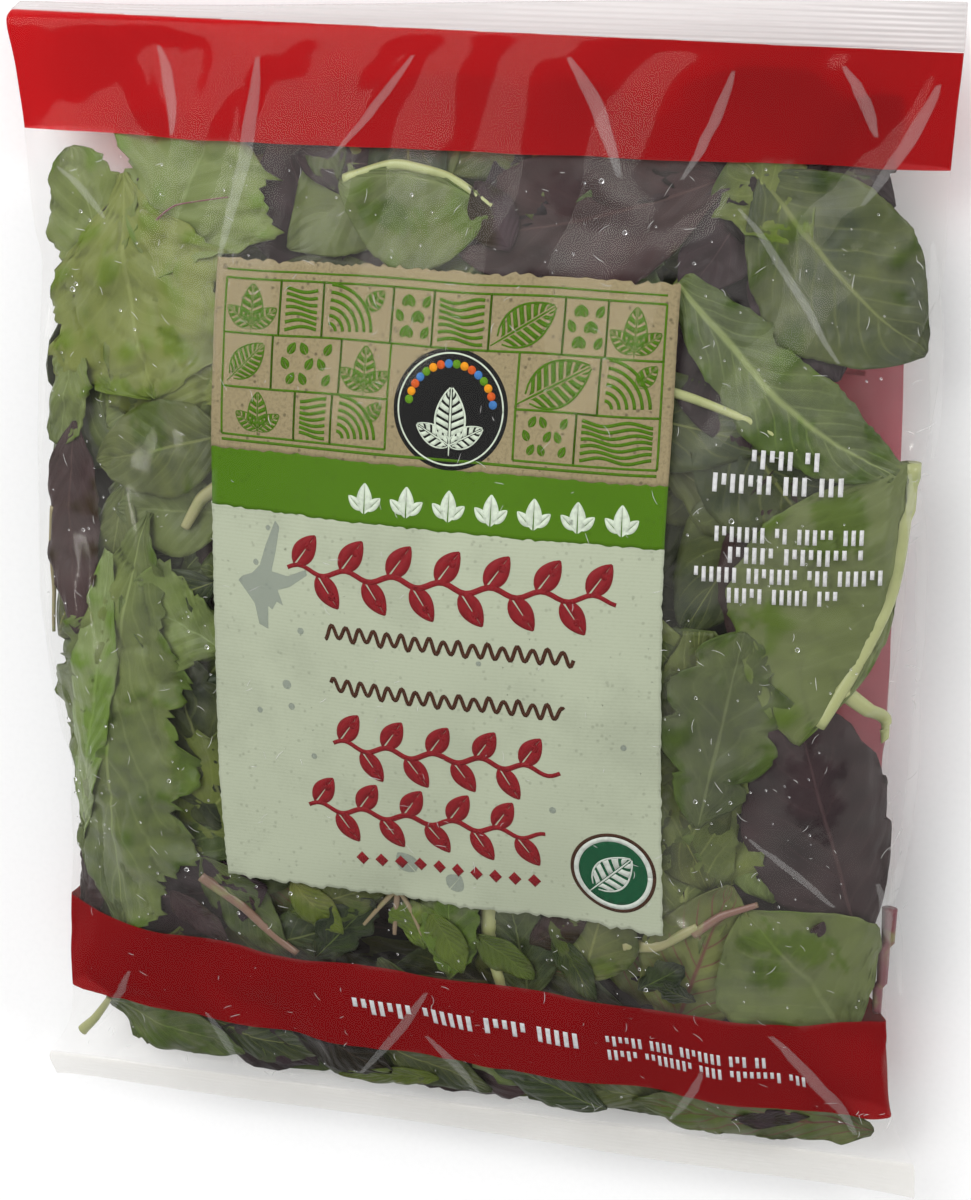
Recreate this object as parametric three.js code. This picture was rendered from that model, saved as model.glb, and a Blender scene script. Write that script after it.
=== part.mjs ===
// A sealed pillow bag of clear film, full of loose salad leaves, lying on its back with the
// printed front up. The film is one tube: rolled edges at the sides, a flat crimped seal at
// each end, and between them a soft cushion that is fuller towards the bottom seal.
// X runs across the bag, Y from its bottom seal to its top seal, and Z up out of the front.
// The origin is on the surface that the bag lies on. All sizes are in millimetres.
import * as THREE from "three";
import { mergeVertices } from "three/addons/utils/BufferGeometryUtils.js";

// Driving sizes of the bag.
const BAG_WIDTH = 216; // the film tube laid flat
const BAG_LENGTH = 273; // over both seals
const BOTTOM_SEAL = 10; // width of the crimped strip at each end
const TOP_SEAL = 11;
const FULLEST = 41; // height of the front over the floor, where the bag is fullest
const SEAL_THICKNESS = 0.6; // the two films of a seal, drawn thicker than they are

// How far the filling draws each rolled side in, over the bag's upper half and its lower half.
const SIDE_PULL = { left: { upper: 7.0, lower: 8.6 }, right: { upper: 2.2, lower: 6.5 } };

// Heights of the seals and of the rolled sides over the floor.
const BOTTOM_SEAL_HEIGHT = 12;
const TOP_SEAL_HEIGHT = 13;
const SIDE_HEIGHT = 16;

// How far the back would hang below the floor if the floor didn't flatten it.
const BACK_PRESS = 5;

// How square the bag is across: a half circle at 1, and boxier as the number gets smaller.
const CROWN = { front: 0.86, back: 0.62 };

// How far from each seal the front, the back and the sides take to reach their full size, and
// how steep each is at the seal: under 1 rises at once, and over 1 lies flat at first.
const FRONT = { bottom: { reach: 130, power: 0.6 }, top: { reach: 150, power: 1.5 } };
const BACK = { bottom: { reach: 34, power: 0.9 }, top: { reach: 62, power: 0.9 } };
const PULL = { bottom: { reach: 18, power: 0.8 }, top: { reach: 60, power: 0.8 } };
const EDGES = { bottom: { reach: 50, power: 1 }, top: { reach: 90, power: 1 } };

// How far the seals hang down, in degrees, from the bag's left side to its right side.
const TOP_SEAL_DROOP = { left: 74, right: 6 };
const BOTTOM_SEAL_DROOP = { left: 38, right: 16 };
const SEAL_BEND = 3.5; // the strip bends over this length and is straight after it

// The grid that the bag's two faces are drawn on.
const COLUMNS = 44;
const SEAL_ROWS = 6; // in each seal, so that its crimps are two rows each
const BODY_ROWS = 46;
const CRIMP_DEPTH = 0.22;

const ROWS = BODY_ROWS + 2 * SEAL_ROWS;
const BOTTOM_LINE = -BAG_LENGTH / 2 + BOTTOM_SEAL; // where the seals meet the cushion
const TOP_LINE = BAG_LENGTH / 2 - TOP_SEAL;

const clamp01 = (t) => Math.min(1, Math.max(0, t));
const mix = (a, b, t) => a + (b - a) * t;
const smooth = (t) => clamp01(t) ** 2 * (3 - 2 * clamp01(t));
const radians = THREE.MathUtils.degToRad;

// 0 at a seal and 1 from its reach on.
const rise = (distance, { reach, power }) => Math.sin((Math.PI / 2) * clamp01(distance / reach)) ** power;

// Rises from both seals, multiplied together.
function fullness(y, { bottom, top }) {
  return rise(y - BOTTOM_LINE, bottom) * rise(TOP_LINE - y, top);
}

// The soft lumps that the leaves press into the front: three crossed waves, none of them
// in step with another, so that no lump is repeated.
function lumps(x, y) {
  const broad = Math.sin(x / 21 + 0.7) * Math.cos(y / 26 - 0.4);
  const slanted = Math.sin((x + 0.8 * y) / 17 + 1.9);
  const small = Math.cos((x - 1.3 * y) / 11.5 + 0.3) * Math.sin((x + 0.4 * y) / 14);
  return 1.1 * broad + 0.7 * slanted + 0.55 * small;
}

// Pleats that run out of a seal into the cushion and die away. They lean and crowd unevenly.
function pleats(x, distance, spacing, depth, length) {
  const uneven = x + 7 * Math.sin(x / 23) + distance * 0.35 * Math.sin(x / 31 + 1);
  const wave = Math.cos((2 * Math.PI * uneven) / spacing);
  return depth * wave * Math.exp(-distance / length) * clamp01(distance / 6);
}

// The folds that the filling pulls out of the seals. Each starts near the top (1) or the bottom
// (-1) seal at x = start, and runs straight to x = stop, at the distance reach from that seal.
const CREASES = [
  { end: 1, start: 100, stop: 74, reach: 37, depth: 3.2, width: 5 },
  { end: 1, start: -98, stop: -66, reach: 29, depth: 2.6, width: 6 },
  { end: 1, start: -40, stop: -58, reach: 47, depth: 2.2, width: 5 },
  { end: 1, start: 22, stop: 34, reach: 39, depth: 2.0, width: 6 },
  { end: -1, start: 92, stop: 70, reach: 34, depth: 2.4, width: 6 },
  { end: -1, start: -22, stop: -2, reach: 30, depth: 2.8, width: 6 },
  { end: -1, start: -94, stop: -76, reach: 30, depth: 2.2, width: 6 },
];
const CREASE_START = 3; // distance of a fold's first point from its seal

// The depth of one fold at a point of the front: a groove that is shallow at its ends.
function crease(x, y, { end, start, stop, reach, depth, width }) {
  const line = end > 0 ? TOP_LINE : BOTTOM_LINE;
  const from = new THREE.Vector2(start, line - end * CREASE_START);
  const run = new THREE.Vector2(stop, line - end * reach).sub(from);
  const point = new THREE.Vector2(x, y).sub(from);
  const along = clamp01(point.dot(run) / run.lengthSq());
  const off = point.addScaledVector(run, -along).length();
  return -depth * Math.sin(Math.PI * (along * 0.9 + 0.05)) * Math.exp(-((off / width) ** 2));
}

function creases(x, y) {
  return CREASES.reduce((sum, fold) => sum + crease(x, y, fold), 0);
}

// Half the bag's width at y, for the left side (-1) or the right side (1).
function halfWidth(y, side) {
  const { upper, lower } = side < 0 ? SIDE_PULL.left : SIDE_PULL.right;
  const pull = mix(lower, upper, smooth(0.5 + y / (BAG_LENGTH / 2)));
  const waver = 0.5 * Math.sin(y / 19 + side) + 0.4 * Math.sin(y / 9.5 - 2 * side);
  return BAG_WIDTH / 2 - fullness(y, PULL) * (pull + waver);
}

// Height of the rolled side edges at y.
function sideHeight(y) {
  const up = smooth((y - BOTTOM_LINE) / (TOP_LINE - BOTTOM_LINE));
  const atSeal = mix(BOTTOM_SEAL_HEIGHT, TOP_SEAL_HEIGHT, up);
  return mix(atSeal, SIDE_HEIGHT, fullness(y, EDGES));
}

// The front's height over the side edges, in the middle of the bag.
function frontSwell(y) {
  return (FULLEST - SIDE_HEIGHT) * fullness(y, FRONT);
}

// The back's depth under the side edges before the floor flattens it.
function backSwell(y) {
  return (sideHeight(y) + BACK_PRESS) * fullness(y, BACK);
}

// A point of the cushion. across runs from -1 to 1, and face is 1 for the front and -1 for the back.
function cushionPoint(across, y, face) {
  const turn = (across * Math.PI) / 2;
  const x = halfWidth(y, Math.sign(across)) * Math.sin(turn);
  const side = sideHeight(y);
  if (face < 0) {
    const under = side - SEAL_THICKNESS / 2 - backSwell(y) * Math.cos(turn) ** CROWN.back;
    return new THREE.Vector3(x, y, Math.max(0, under));
  }
  const fromTop = TOP_LINE - y;
  const fromBottom = y - BOTTOM_LINE;
  const relief = lumps(x, y) * clamp01(Math.min(fromTop, fromBottom) / 40) + creases(x, y);
  const seams = pleats(x, fromTop, 27, 1.5, 20) + pleats(x + 9, fromBottom, 24, 1.5, 16);
  const edgeFade = clamp01((1 - Math.abs(across)) / 0.18);
  const swell = frontSwell(y) * Math.cos(turn) ** CROWN.front;
  const top = side + SEAL_THICKNESS / 2 + swell + (relief + seams) * edgeFade;
  return new THREE.Vector3(x, y, Math.max(top, side + SEAL_THICKNESS / 2));
}

// A point of a seal, distance out from the line where it meets the cushion. end is -1 at the
// bottom and 1 at the top. The strip bends down near the line and then runs straight.
function sealPoint(across, distance, end, face, crimp) {
  const droop = end > 0 ? TOP_SEAL_DROOP : BOTTOM_SEAL_DROOP;
  const angle = radians(mix(droop.left, droop.right, smooth((across + 0.55) / 1.5)));
  const line = end > 0 ? TOP_LINE : BOTTOM_LINE;
  const step = 0.25;
  let out = 0;
  let down = 0;
  for (let s = 0; s < distance - 1e-6; s += step) {
    const tilt = angle * smooth((s + step / 2) / SEAL_BEND);
    const piece = Math.min(step, distance - s);
    out += piece * Math.cos(tilt);
    down += piece * Math.sin(tilt);
  }
  const ripple = 0.8 * Math.sin(across * 9 + end) * clamp01(distance / TOP_SEAL);
  const x = (BAG_WIDTH / 2) * Math.sin((across * Math.PI) / 2);
  const height = sideHeight(line) - down * (1 - 0.04 * Math.abs(across)) + ripple * Math.cos(angle);
  const lift = face * (SEAL_THICKNESS / 2) + crimp * CRIMP_DEPTH;
  return new THREE.Vector3(
    x,
    line + end * (out + lift * Math.sin(angle) * clamp01(distance / SEAL_BEND)),
    height + lift * Math.cos(angle * clamp01(distance / SEAL_BEND)),
  );
}

// A point of the bag for a row counted from the bottom seal's edge.
function bagPoint(across, row, face) {
  const crimp = row % 2 ? 1 : -1;
  if (row < SEAL_ROWS) {
    const distance = BOTTOM_SEAL * (1 - row / SEAL_ROWS);
    return sealPoint(across, distance, -1, face, crimp);
  }
  if (row > ROWS - SEAL_ROWS) {
    const distance = TOP_SEAL * (1 - (ROWS - row) / SEAL_ROWS);
    return sealPoint(across, distance, 1, face, crimp);
  }
  const y = mix(BOTTOM_LINE, TOP_LINE, (row - SEAL_ROWS) / BODY_ROWS);
  return cushionPoint(across, y, face);
}

// The bag starts as a thin flat box, whose grid points are then carried to where the film is.
function makeBag() {
  const box = new THREE.BoxGeometry(2, ROWS, 2, COLUMNS, ROWS, 1);
  box.deleteAttribute("normal");
  box.deleteAttribute("uv");
  const geometry = mergeVertices(box);
  const position = geometry.getAttribute("position");
  for (let i = 0; i < position.count; i += 1) {
    const row = Math.round(position.getY(i) + ROWS / 2);
    const point = bagPoint(position.getX(i), row, Math.sign(position.getZ(i)));
    position.setXYZ(i, point.x, point.y, point.z);
  }
  geometry.computeVertexNormals();
  const film = new THREE.MeshStandardMaterial({ color: 0x7f9a62, roughness: 0.25, metalness: 0 });
  const bag = new THREE.Mesh(geometry, film);
  bag.name = "salad_bag";
  return bag;
}

const part = new THREE.Group();
part.add(makeBag());

export default part;
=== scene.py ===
"""A sealed pillow bag of clear printed film, full of loose salad leaves, lying on its back.

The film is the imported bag's own surface, wrinkled by a short cloth simulation. Everything else
is fitted to that film: the leaves lie between its front and its back, the ink lies just under
it, and the damp inside it clears where a leaf touches it. All sizes are in metres.
"""
import functools
import math

import bmesh
import bpy
import numpy as np
from bpy.props import FloatProperty, FloatVectorProperty, IntProperty
from mathutils import Matrix, Vector
from mathutils.bvhtree import BVHTree


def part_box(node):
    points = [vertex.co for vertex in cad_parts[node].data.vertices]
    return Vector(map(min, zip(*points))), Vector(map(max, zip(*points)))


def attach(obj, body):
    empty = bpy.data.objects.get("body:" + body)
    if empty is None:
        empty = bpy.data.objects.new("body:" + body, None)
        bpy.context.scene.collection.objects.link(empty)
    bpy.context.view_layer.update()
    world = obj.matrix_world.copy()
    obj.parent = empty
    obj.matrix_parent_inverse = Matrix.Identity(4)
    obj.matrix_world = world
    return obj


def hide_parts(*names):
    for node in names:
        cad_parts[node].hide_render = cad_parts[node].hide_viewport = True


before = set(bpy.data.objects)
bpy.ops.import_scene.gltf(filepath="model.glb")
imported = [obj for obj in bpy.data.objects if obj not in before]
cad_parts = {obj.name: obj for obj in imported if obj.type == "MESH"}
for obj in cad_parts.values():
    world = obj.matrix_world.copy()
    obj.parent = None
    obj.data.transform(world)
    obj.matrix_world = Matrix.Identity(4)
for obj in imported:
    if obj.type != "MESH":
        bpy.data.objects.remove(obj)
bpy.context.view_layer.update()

bl_info = {
    "name": "Bag of Salad Leaves",
    "version": (1, 0, 0),
    "blender": (4, 5, 0),
    "location": "3D View > Sidebar > Salad Bag",
    "description": "Builds a clear printed pillow bag of loose salad leaves around its packed solid",
    "category": "Object",
}

MM = 0.001
LOW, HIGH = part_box("salad_bag")

# The seals at the two ends, and the lines where they meet the cushion.
TOP_SEAL = 11 * MM
BOTTOM_SEAL = 10 * MM
TOP_LINE = HIGH.y - TOP_SEAL
BOTTOM_LINE = LOW.y + BOTTOM_SEAL
SIDE_HEIGHT = 15 * MM  # the rolled sides over the floor

# The upper and the lower cut of each red band: its height in the middle of the bag, and its lean.
UPPER_BAND = ((TOP_LINE + 1.7 * MM, -0.012), (102.2 * MM, -0.004))
LOWER_BAND = ((-85.0 * MM, -0.043), (-110.2 * MM, -0.043))

# The label's upper and lower edge, from the middle of the bag.
LABEL_TOP, LABEL_BOTTOM = 77.5 * MM, -64 * MM

# How deep each layer lies under the outer face of the film. The scuffs share theirs with the painted glints
# and highlights.
SCUFF_AND_GLINT_DEPTH = 0.05 * MM
MARK_DEPTH = 0.075 * MM
ORNAMENT_DEPTH = 0.09 * MM
PRINT_DEPTH = 0.15 * MM
LEAF_GAP = 0.42 * MM

# How thick the leaves, the label's fields and the ink of its ornament are.
LEAF_WALL = 0.22 * MM
FIELD_WALL = 0.03 * MM
INK_WALL = 0.02 * MM

# The share of the light that the film's gloss throws back, how milky its lower seal is (the top
# one is twice as milky), and the fine crimps of both.
FILM_GLOSS = 0.011
SEAL_MILK = 0.24
CRIMP_PITCH = 1.15 * MM
CRIMP_HEIGHT = 0.12 * MM

# How far a point of the film may move as it settles, and the frames that this takes.
MOST_MOVED = 6 * MM
SETTLE_FRAMES = 22


# Settings that a user would change

def colour(name, description, default):
    return FloatVectorProperty(name=name, description=description, default=default,
                               subtype="COLOR", size=3, min=0.0, max=1.0)


def length(name, description, default):
    return FloatProperty(name=name, description=description, default=default,
                         subtype="DISTANCE", unit="LENGTH", min=0.0)


class FilmSettings(bpy.types.PropertyGroup):
    slack: FloatProperty(
        name="Slack", default=0.015, min=0.0, max=0.05,
        description="How much longer the film is than the form it is stretched over")
    pressure: FloatProperty(
        name="Pressure", default=0.3, min=0.0, max=2.0,
        description="Air pressure inside the bag while its film settles")
    seed: IntProperty(name="Seed", default=7, description="Draw of the drops and the scuffs")
    drops: IntProperty(name="Drops", default=620, min=0, description="Drops of water inside the front")


class PrintSettings(bpy.types.PropertyGroup):
    red: colour("Red ink", "Ink of the two bands round the bag", (0.44, 0.009, 0.012))
    kraft: colour("Brown paper field", "Upper field of the label", (0.266, 0.216, 0.120))
    leaf_green: colour("Green ink", "Green strip and leaf ornament of the label", (0.060, 0.146, 0.003))
    pale: colour("Pale field", "Lower field of the label", (0.380, 0.415, 0.305))
    dark_red: colour("Dark red ink", "Ornament of the pale field", (0.20, 0.010, 0.014))
    brown: colour("Brown ink", "Rules of the pale field", (0.055, 0.020, 0.010))
    label_width: length("Label width", "Width of the printed label", 0.104)
    label_top: length("Label top", "Top of the label over the middle of the bag", LABEL_TOP)
    label_bottom: FloatProperty(
        name="Label bottom", default=LABEL_BOTTOM, subtype="DISTANCE", unit="LENGTH",
        description="Bottom of the label from the middle of the bag")


class LeafSettings(bpy.types.PropertyGroup):
    seed: IntProperty(name="Seed", default=21, description="Draw of the loose leaves")
    near: IntProperty(name="Near leaves", default=84, min=0,
                      description="Loose leaves just under the front")
    inner: IntProperty(name="Inner leaves", default=100, min=0,
                       description="Leaves in the bulk of the bag")
    behind: IntProperty(name="Leaves behind", default=44, min=0,
                        description="Leaves against the back film")


class StageSettings(bpy.types.PropertyGroup):
    azimuth: FloatProperty(
        name="Camera azimuth", default=math.radians(135.69), subtype="ANGLE", unit="ROTATION",
        description="Turn of the camera round the bag, from its bottom edge towards its right side")
    elevation: FloatProperty(
        name="Camera elevation", default=math.radians(67.15), subtype="ANGLE", unit="ROTATION",
        description="Height of the camera over the floor")
    roll: FloatProperty(
        name="Camera roll", default=math.radians(0.14), subtype="ANGLE", unit="ROTATION",
        description="Turn of the camera about its own line of sight")
    distance: length("Camera distance", "From the middle of the bag", 0.688)
    focal: FloatProperty(name="Focal length", default=91.3, subtype="DISTANCE_CAMERA",
                         description="Focal length over a 36 mm frame height")
    floor: colour("Floor", "Colour of the floor", (0.94, 0.94, 0.94))


# Selecting, editing and finishing by hand

def deselect():
    bpy.ops.object.select_all(action="DESELECT")


def pick(piece):
    """Makes one object the only selected one and the active one."""
    deselect()
    piece.select_set(True)
    bpy.context.view_layer.objects.active = piece
    return piece


def in_edit_mode(piece, work):
    """Selects all of a piece's mesh and runs one piece of work in edit mode."""
    pick(piece)
    bpy.ops.object.mode_set(mode="EDIT")
    bpy.ops.mesh.select_all(action="SELECT")
    work()
    bpy.ops.object.mode_set(mode="OBJECT")
    return piece


def with_modifier(piece, kind, **settings):
    """Adds one modifier, sets it and applies it."""
    pick(piece)
    modifier = piece.modifiers.new(kind.title(), kind)
    for name, value in settings.items():
        setattr(modifier, name, value)
    bpy.ops.object.modifier_apply(modifier=modifier.name)
    return piece


def new_piece(name, points, faces):
    """An object at the origin from points in metres and faces."""
    mesh = bpy.data.meshes.new(name)
    mesh.from_pydata([tuple(p) for p in points], [], [tuple(f) for f in faces])
    mesh.validate()
    piece = bpy.data.objects.new(name, mesh)
    bpy.context.scene.collection.objects.link(piece)
    return piece


def places(piece):
    co = np.empty(len(piece.data.vertices) * 3)
    piece.data.vertices.foreach_get("co", co)
    return co.reshape(-1, 3)


def set_places(piece, co):
    piece.data.vertices.foreach_set("co", np.asarray(co, float).ravel())
    piece.data.update()


def normals_of(piece):
    """The direction that each of a piece's points faces."""
    normals = np.empty(len(piece.data.vertices) * 3)
    piece.data.vertex_normals.foreach_get("vector", normals)
    return normals.reshape(-1, 3)


def grid_faces(rows, columns):
    """The four-sided faces of a grid whose points are numbered row by row."""
    first = (np.arange(rows)[:, None] * (columns + 1) + np.arange(columns)[None, :]).ravel()
    return np.stack([first, first + 1, first + columns + 2, first + columns + 1], -1)


def copy_of(piece, name):
    """A free copy of one object, without its finishes and its notes for the frame."""
    pick(piece)
    bpy.ops.object.duplicate()
    made = bpy.context.active_object
    made.name = made.data.name = name
    for key in [k for k in made.keys() if k.startswith("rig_")]:
        del made[key]
    made.parent = None
    made.data.materials.clear()
    return made


def give_values(piece, name, values):
    """Stores one number for each of a piece's points."""
    layer = piece.data.attributes.get(name) or piece.data.attributes.new(name, "FLOAT", "POINT")
    layer.data.foreach_set("value", np.asarray(values, np.float32))


def finish(piece, material):
    """The last steps of each piece: shading, finish, and the body that it rides on."""
    pick(piece)
    bpy.ops.object.shade_smooth()
    piece.data.materials.clear()
    piece.data.materials.append(material)
    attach(piece, "root")
    return piece


def wall(piece, thickness):
    """Gives a sheet a wall behind it, so that it is a closed thin body."""
    return with_modifier(piece, "SOLIDIFY", thickness=thickness, offset=-1, use_even_offset=False)


# Finishes

def dimmed(shade, share):
    return tuple(c * share for c in shade)


class Finish:
    """A material's nodes, written from left to right."""

    def __init__(self, name):
        self.material = bpy.data.materials.new(name)
        self.material.use_nodes = True
        self.tree = self.material.node_tree
        self.tree.nodes.clear()
        self.output = self.tree.nodes.new("ShaderNodeOutputMaterial")

    def node(self, kind, inputs=None, **settings):
        made = self.tree.nodes.new("ShaderNode" + kind)
        for name, value in settings.items():
            setattr(made, name, value)
        for name, value in (inputs or {}).items():
            self.feed(made.inputs[name], value)
        return made

    def feed(self, socket, value):
        if isinstance(value, bpy.types.NodeSocket):
            self.tree.links.new(value, socket)
        elif isinstance(value, (tuple, list)) and len(value) == 3 and socket.type == "RGBA":
            socket.default_value = (*value, 1.0)
        elif value is not None:
            socket.default_value = value

    def math(self, operation, a, b=None, c=None, clamp=False):
        made = self.node("Math", {0: a, 1: b, 2: c}, operation=operation, use_clamp=clamp)
        return made.outputs[0]

    def ramp(self, value, low, high, to_low=0.0, to_high=1.0):
        """A smooth step of a value from low to high."""
        made = self.node("MapRange", {"Value": value, "From Min": low, "From Max": high,
                                      "To Min": to_low, "To Max": to_high},
                         interpolation_type="SMOOTHSTEP")
        return made.outputs["Result"]

    def mix(self, share, a, b, blend="MIX"):
        made = self.node("Mix", data_type="RGBA", blend_type=blend)
        self.feed(made.inputs[0], share)
        self.feed(made.inputs[6], a)
        self.feed(made.inputs[7], b)
        return made.outputs[2]

    def object_place(self):
        return self.node("TexCoord").outputs["Object"]

    def axis(self, name, vector=None):
        """One part of a vector, which is the place on the object unless another is given."""
        return self.node("SeparateXYZ", {"Vector": vector or self.object_place()}).outputs[name]

    def lines(self, pitch):
        """A wave along the bag, as crimps and ribs that run across it make."""
        return self.math("SINE", self.math("MULTIPLY", self.axis("Y"), 2 * math.pi / pitch))

    def noise(self, scale, detail=3.0, roughness=0.55):
        """Noise over the flat of the bag, as all that it marks lies nearly flat."""
        made = self.node("TexNoise", {"Scale": scale, "Detail": detail, "Roughness": roughness,
                                      "Vector": self.object_place()}, noise_dimensions="2D")
        return made.outputs["Fac"]

    def cells(self, scale, feature="DISTANCE_TO_EDGE"):
        made = self.node("TexVoronoi", {"Scale": scale, "Vector": self.object_place()},
                         feature=feature, voronoi_dimensions="2D")
        return made.outputs["Distance"]

    def value(self, name):
        return self.node("Attribute", attribute_name=name).outputs["Fac"]

    def bump(self, height, strength, distance):
        made = self.node("Bump", {"Height": height, "Strength": strength, "Distance": distance})
        return made.outputs["Normal"]

    def surface(self, **inputs):
        named = {name.replace("_", " "): value for name, value in inputs.items()}
        return self.node("BsdfPrincipled", named).outputs[0]

    def see_through(self, share, tint, surface):
        """A surface that covers a share of what is behind it, and tints the rest."""
        clear = self.node("BsdfTransparent", {"Color": tint}).outputs[0]
        made = self.node("MixShader", {0: share, 1: clear, 2: surface})
        return made.outputs[0]

    def done(self, surface):
        self.tree.links.new(surface, self.output.inputs["Surface"])
        return self.material


def film_finish():
    """Clear glossy film. The damp inside it is milky, except where a leaf touches it, and the
    seals are crimped in fine lines across the bag."""
    f = Finish("clear_film")
    along = f.axis("Y")
    band_top, lean = UPPER_BAND[0]
    slanted = f.math("MULTIPLY_ADD", f.axis("X"), -lean, along)
    in_seal = f.math("MAXIMUM", f.ramp(slanted, band_top, band_top + 0.3 * MM),
                     f.ramp(along, BOTTOM_LINE, BOTTOM_LINE - 0.6 * MM))
    at_top = f.ramp(along, -10 * MM, 10 * MM)
    seal_milk = f.math("MULTIPLY_ADD", at_top, SEAL_MILK, SEAL_MILK)
    # The damp value also holds the painted sheen of the rolled sides.
    milk = f.math("MULTIPLY_ADD", in_seal, seal_milk, f.value("damp"))
    share = f.math("ADD", milk, FILM_GLOSS)
    normal = f.bump(f.math("MULTIPLY", f.lines(CRIMP_PITCH), in_seal), 0.7, CRIMP_HEIGHT)
    tone = f.mix(f.math("MULTIPLY", in_seal, at_top), (0.84, 0.81, 0.74), (0.62, 0.58, 0.57))
    mirror = f.math("DIVIDE", FILM_GLOSS, share)
    film = f.surface(Base_Color=tone, Roughness=0.085, Metallic=mirror, Normal=normal)
    return f.done(f.see_through(share, (1, 1, 1), film))


def ink_finish(name, ink, cover, tint, roughness=0.45, painted_shade_right=1.0):
    """Ink on the inside of the film, thin enough that what is behind it darkens it. Its last
    argument darkens the ink towards the right of the bag: painted shade of the more folded film."""
    f = Finish(name)
    # Painted shade: the ink darkens from the left of the bag towards its right.
    painted_shade_ramp = f.ramp(f.axis("X"), -50 * MM, 100 * MM)
    shade = f.mix(painted_shade_ramp, tuple(ink), dimmed(ink, painted_shade_right))
    ink_face = f.surface(Base_Color=shade, Roughness=roughness, Specular_IOR_Level=0.0)
    return f.done(f.see_through(cover, tint, ink_face))


def paper_finish(name, paper, fibre, speckle, ribs=0.0):
    """A label field printed to look like paper, with fibres, specks, fine ribs across the bag and
    duller patches where something damp lies behind it."""
    f = Finish(name)
    fibres = f.ramp(f.noise(1300, 3, 0.7), 0.42, 0.75, 0.0, fibre)
    some = f.ramp(f.noise(210, 1), 0.56, 0.62, 0.0, speckle)
    specks = f.math("MULTIPLY", f.ramp(f.cells(420, "F1"), 0.2, 0.1), some)
    patches = f.ramp(f.noise(24, 4, 0.6), 0.46, 0.72, 0.0, 0.36 if ribs else 0.12)
    dull = f.math("MULTIPLY_ADD", f.lines(0.8 * MM), ribs, patches)
    dull = f.math("ADD", fibres, dull, clamp=True)
    shade = f.mix(dull, tuple(paper), dimmed(paper, 0.66))
    shade = f.mix(specks, shade, dimmed(paper, 0.40))
    return f.done(f.surface(Base_Color=shade, Roughness=0.6, Specular_IOR_Level=0.08))


def leaf_finish(name, blade, deep, rib, laterals, rib_width, vein, gloss=0.2, net=0.08):
    """A leaf: its blade darkens from leaf to leaf, paler veins branch forward from its rib, with
    a fine net of veins between them. Where it lies wet on the film it is darker."""
    f = Finish(name)
    layout = f.node("UVMap", uv_map="leaf").outputs[0]
    across = f.math("ABSOLUTE", f.math("MULTIPLY_ADD", f.axis("X", layout), 2.0, -1.0))
    up = f.axis("Y", layout)
    wobble = f.math("MULTIPLY", f.noise(70, 1, 0.5), 1.1)
    lateral = f.math("SUBTRACT", f.math("ADD", f.math("MULTIPLY", up, laterals), wobble),
                     f.math("MULTIPLY", across, 2.4))
    saw = f.math("ABSOLUTE", f.math("SUBTRACT", f.math("FRACT", lateral), 0.5))
    side_vein = f.math("MULTIPLY", f.ramp(saw, 0.11, 0.0), f.ramp(across, 1.0, 0.4))
    main_rib = f.ramp(f.math("ADD", across, f.math("MULTIPLY", up, rib_width * 0.75)),
                      rib_width * 1.5, rib_width * 0.5, 0.0, 0.75)
    meshes = f.ramp(f.cells(470), 0.0, 0.16, 1.0, 0.0)
    mottled = f.math("MULTIPLY_ADD", meshes, -net, f.value("tint"), clamp=True)
    shade = f.mix(mottled, blade, deep)
    veins = f.math("MAXIMUM", f.math("MULTIPLY", side_vein, vein), main_rib, clamp=True)
    shade = f.mix(veins, shade, rib)
    warmth = f.mix(f.value("warm"), (0.84, 0.97, 1.2), (1.16, 1.03, 0.72))
    shade = f.mix(1.0, shade, warmth, "MULTIPLY")
    shade = f.mix(f.value("wet"), shade, (0.72, 0.88, 0.42), "MULTIPLY")
    normal = f.bump(f.math("MULTIPLY_ADD", f.noise(120, 1, 0.5), 1.3, saw), 0.6, 0.55 * MM)
    face = f.surface(Base_Color=shade, Roughness=0.42, Normal=normal, Specular_IOR_Level=gloss)
    return f.done(face)


def stem_finish():
    f = Finish("leaf_stem")
    streak = f.noise(140, 3, 0.6)
    shade = f.mix(f.value("tint"), (0.33, 0.36, 0.145), (0.14, 0.035, 0.045))
    shade = f.mix(f.ramp(streak, 0.5, 0.75, 0.0, 0.6), shade, (0.19, 0.23, 0.07))
    face = f.surface(Base_Color=shade, Roughness=0.35, Normal=f.bump(streak, 0.4, 0.3 * MM))
    return f.done(face)


def plain_finish(name, shade, roughness=0.5, grain=0.06):
    f = Finish(name)
    darker = f.ramp(f.noise(700, 2, 0.6), 0.4, 0.7)
    mottled = f.mix(darker, tuple(shade), dimmed(shade, 1 - grain * 3))
    return f.done(f.surface(Base_Color=mottled, Roughness=roughness, Specular_IOR_Level=0.08))


def water_finish():
    f = Finish("water_drop")
    face = f.surface(Base_Color=(1, 1, 1), Roughness=0.03, IOR=1.33, Transmission_Weight=1.0)
    return f.done(face)


# The film

def smooth_noise(x, y, seed, waves, size):
    """A gentle random field of x and y: a few crossed waves with drawn directions."""
    draw = np.random.default_rng(seed)
    total = 0.0
    for _ in range(waves):
        turn, phase = draw.uniform(0, 2 * math.pi, 2)
        pace = 2 * math.pi / (size * draw.uniform(0.7, 1.6))
        total = total + np.sin((x * math.cos(turn) + y * math.sin(turn)) * pace + phase)
    return total / waves


def copy_of_bag():
    """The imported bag's mesh as four-sided faces, merged."""
    def merge():
        bpy.ops.mesh.remove_doubles(threshold=0.01 * MM)
        bpy.ops.mesh.tris_convert_to_quads(face_threshold=math.pi, shape_threshold=math.pi)
        bpy.ops.mesh.normals_make_consistent(inside=False)

    return in_edit_mode(copy_of(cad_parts["salad_bag"], "film"), merge)


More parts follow.
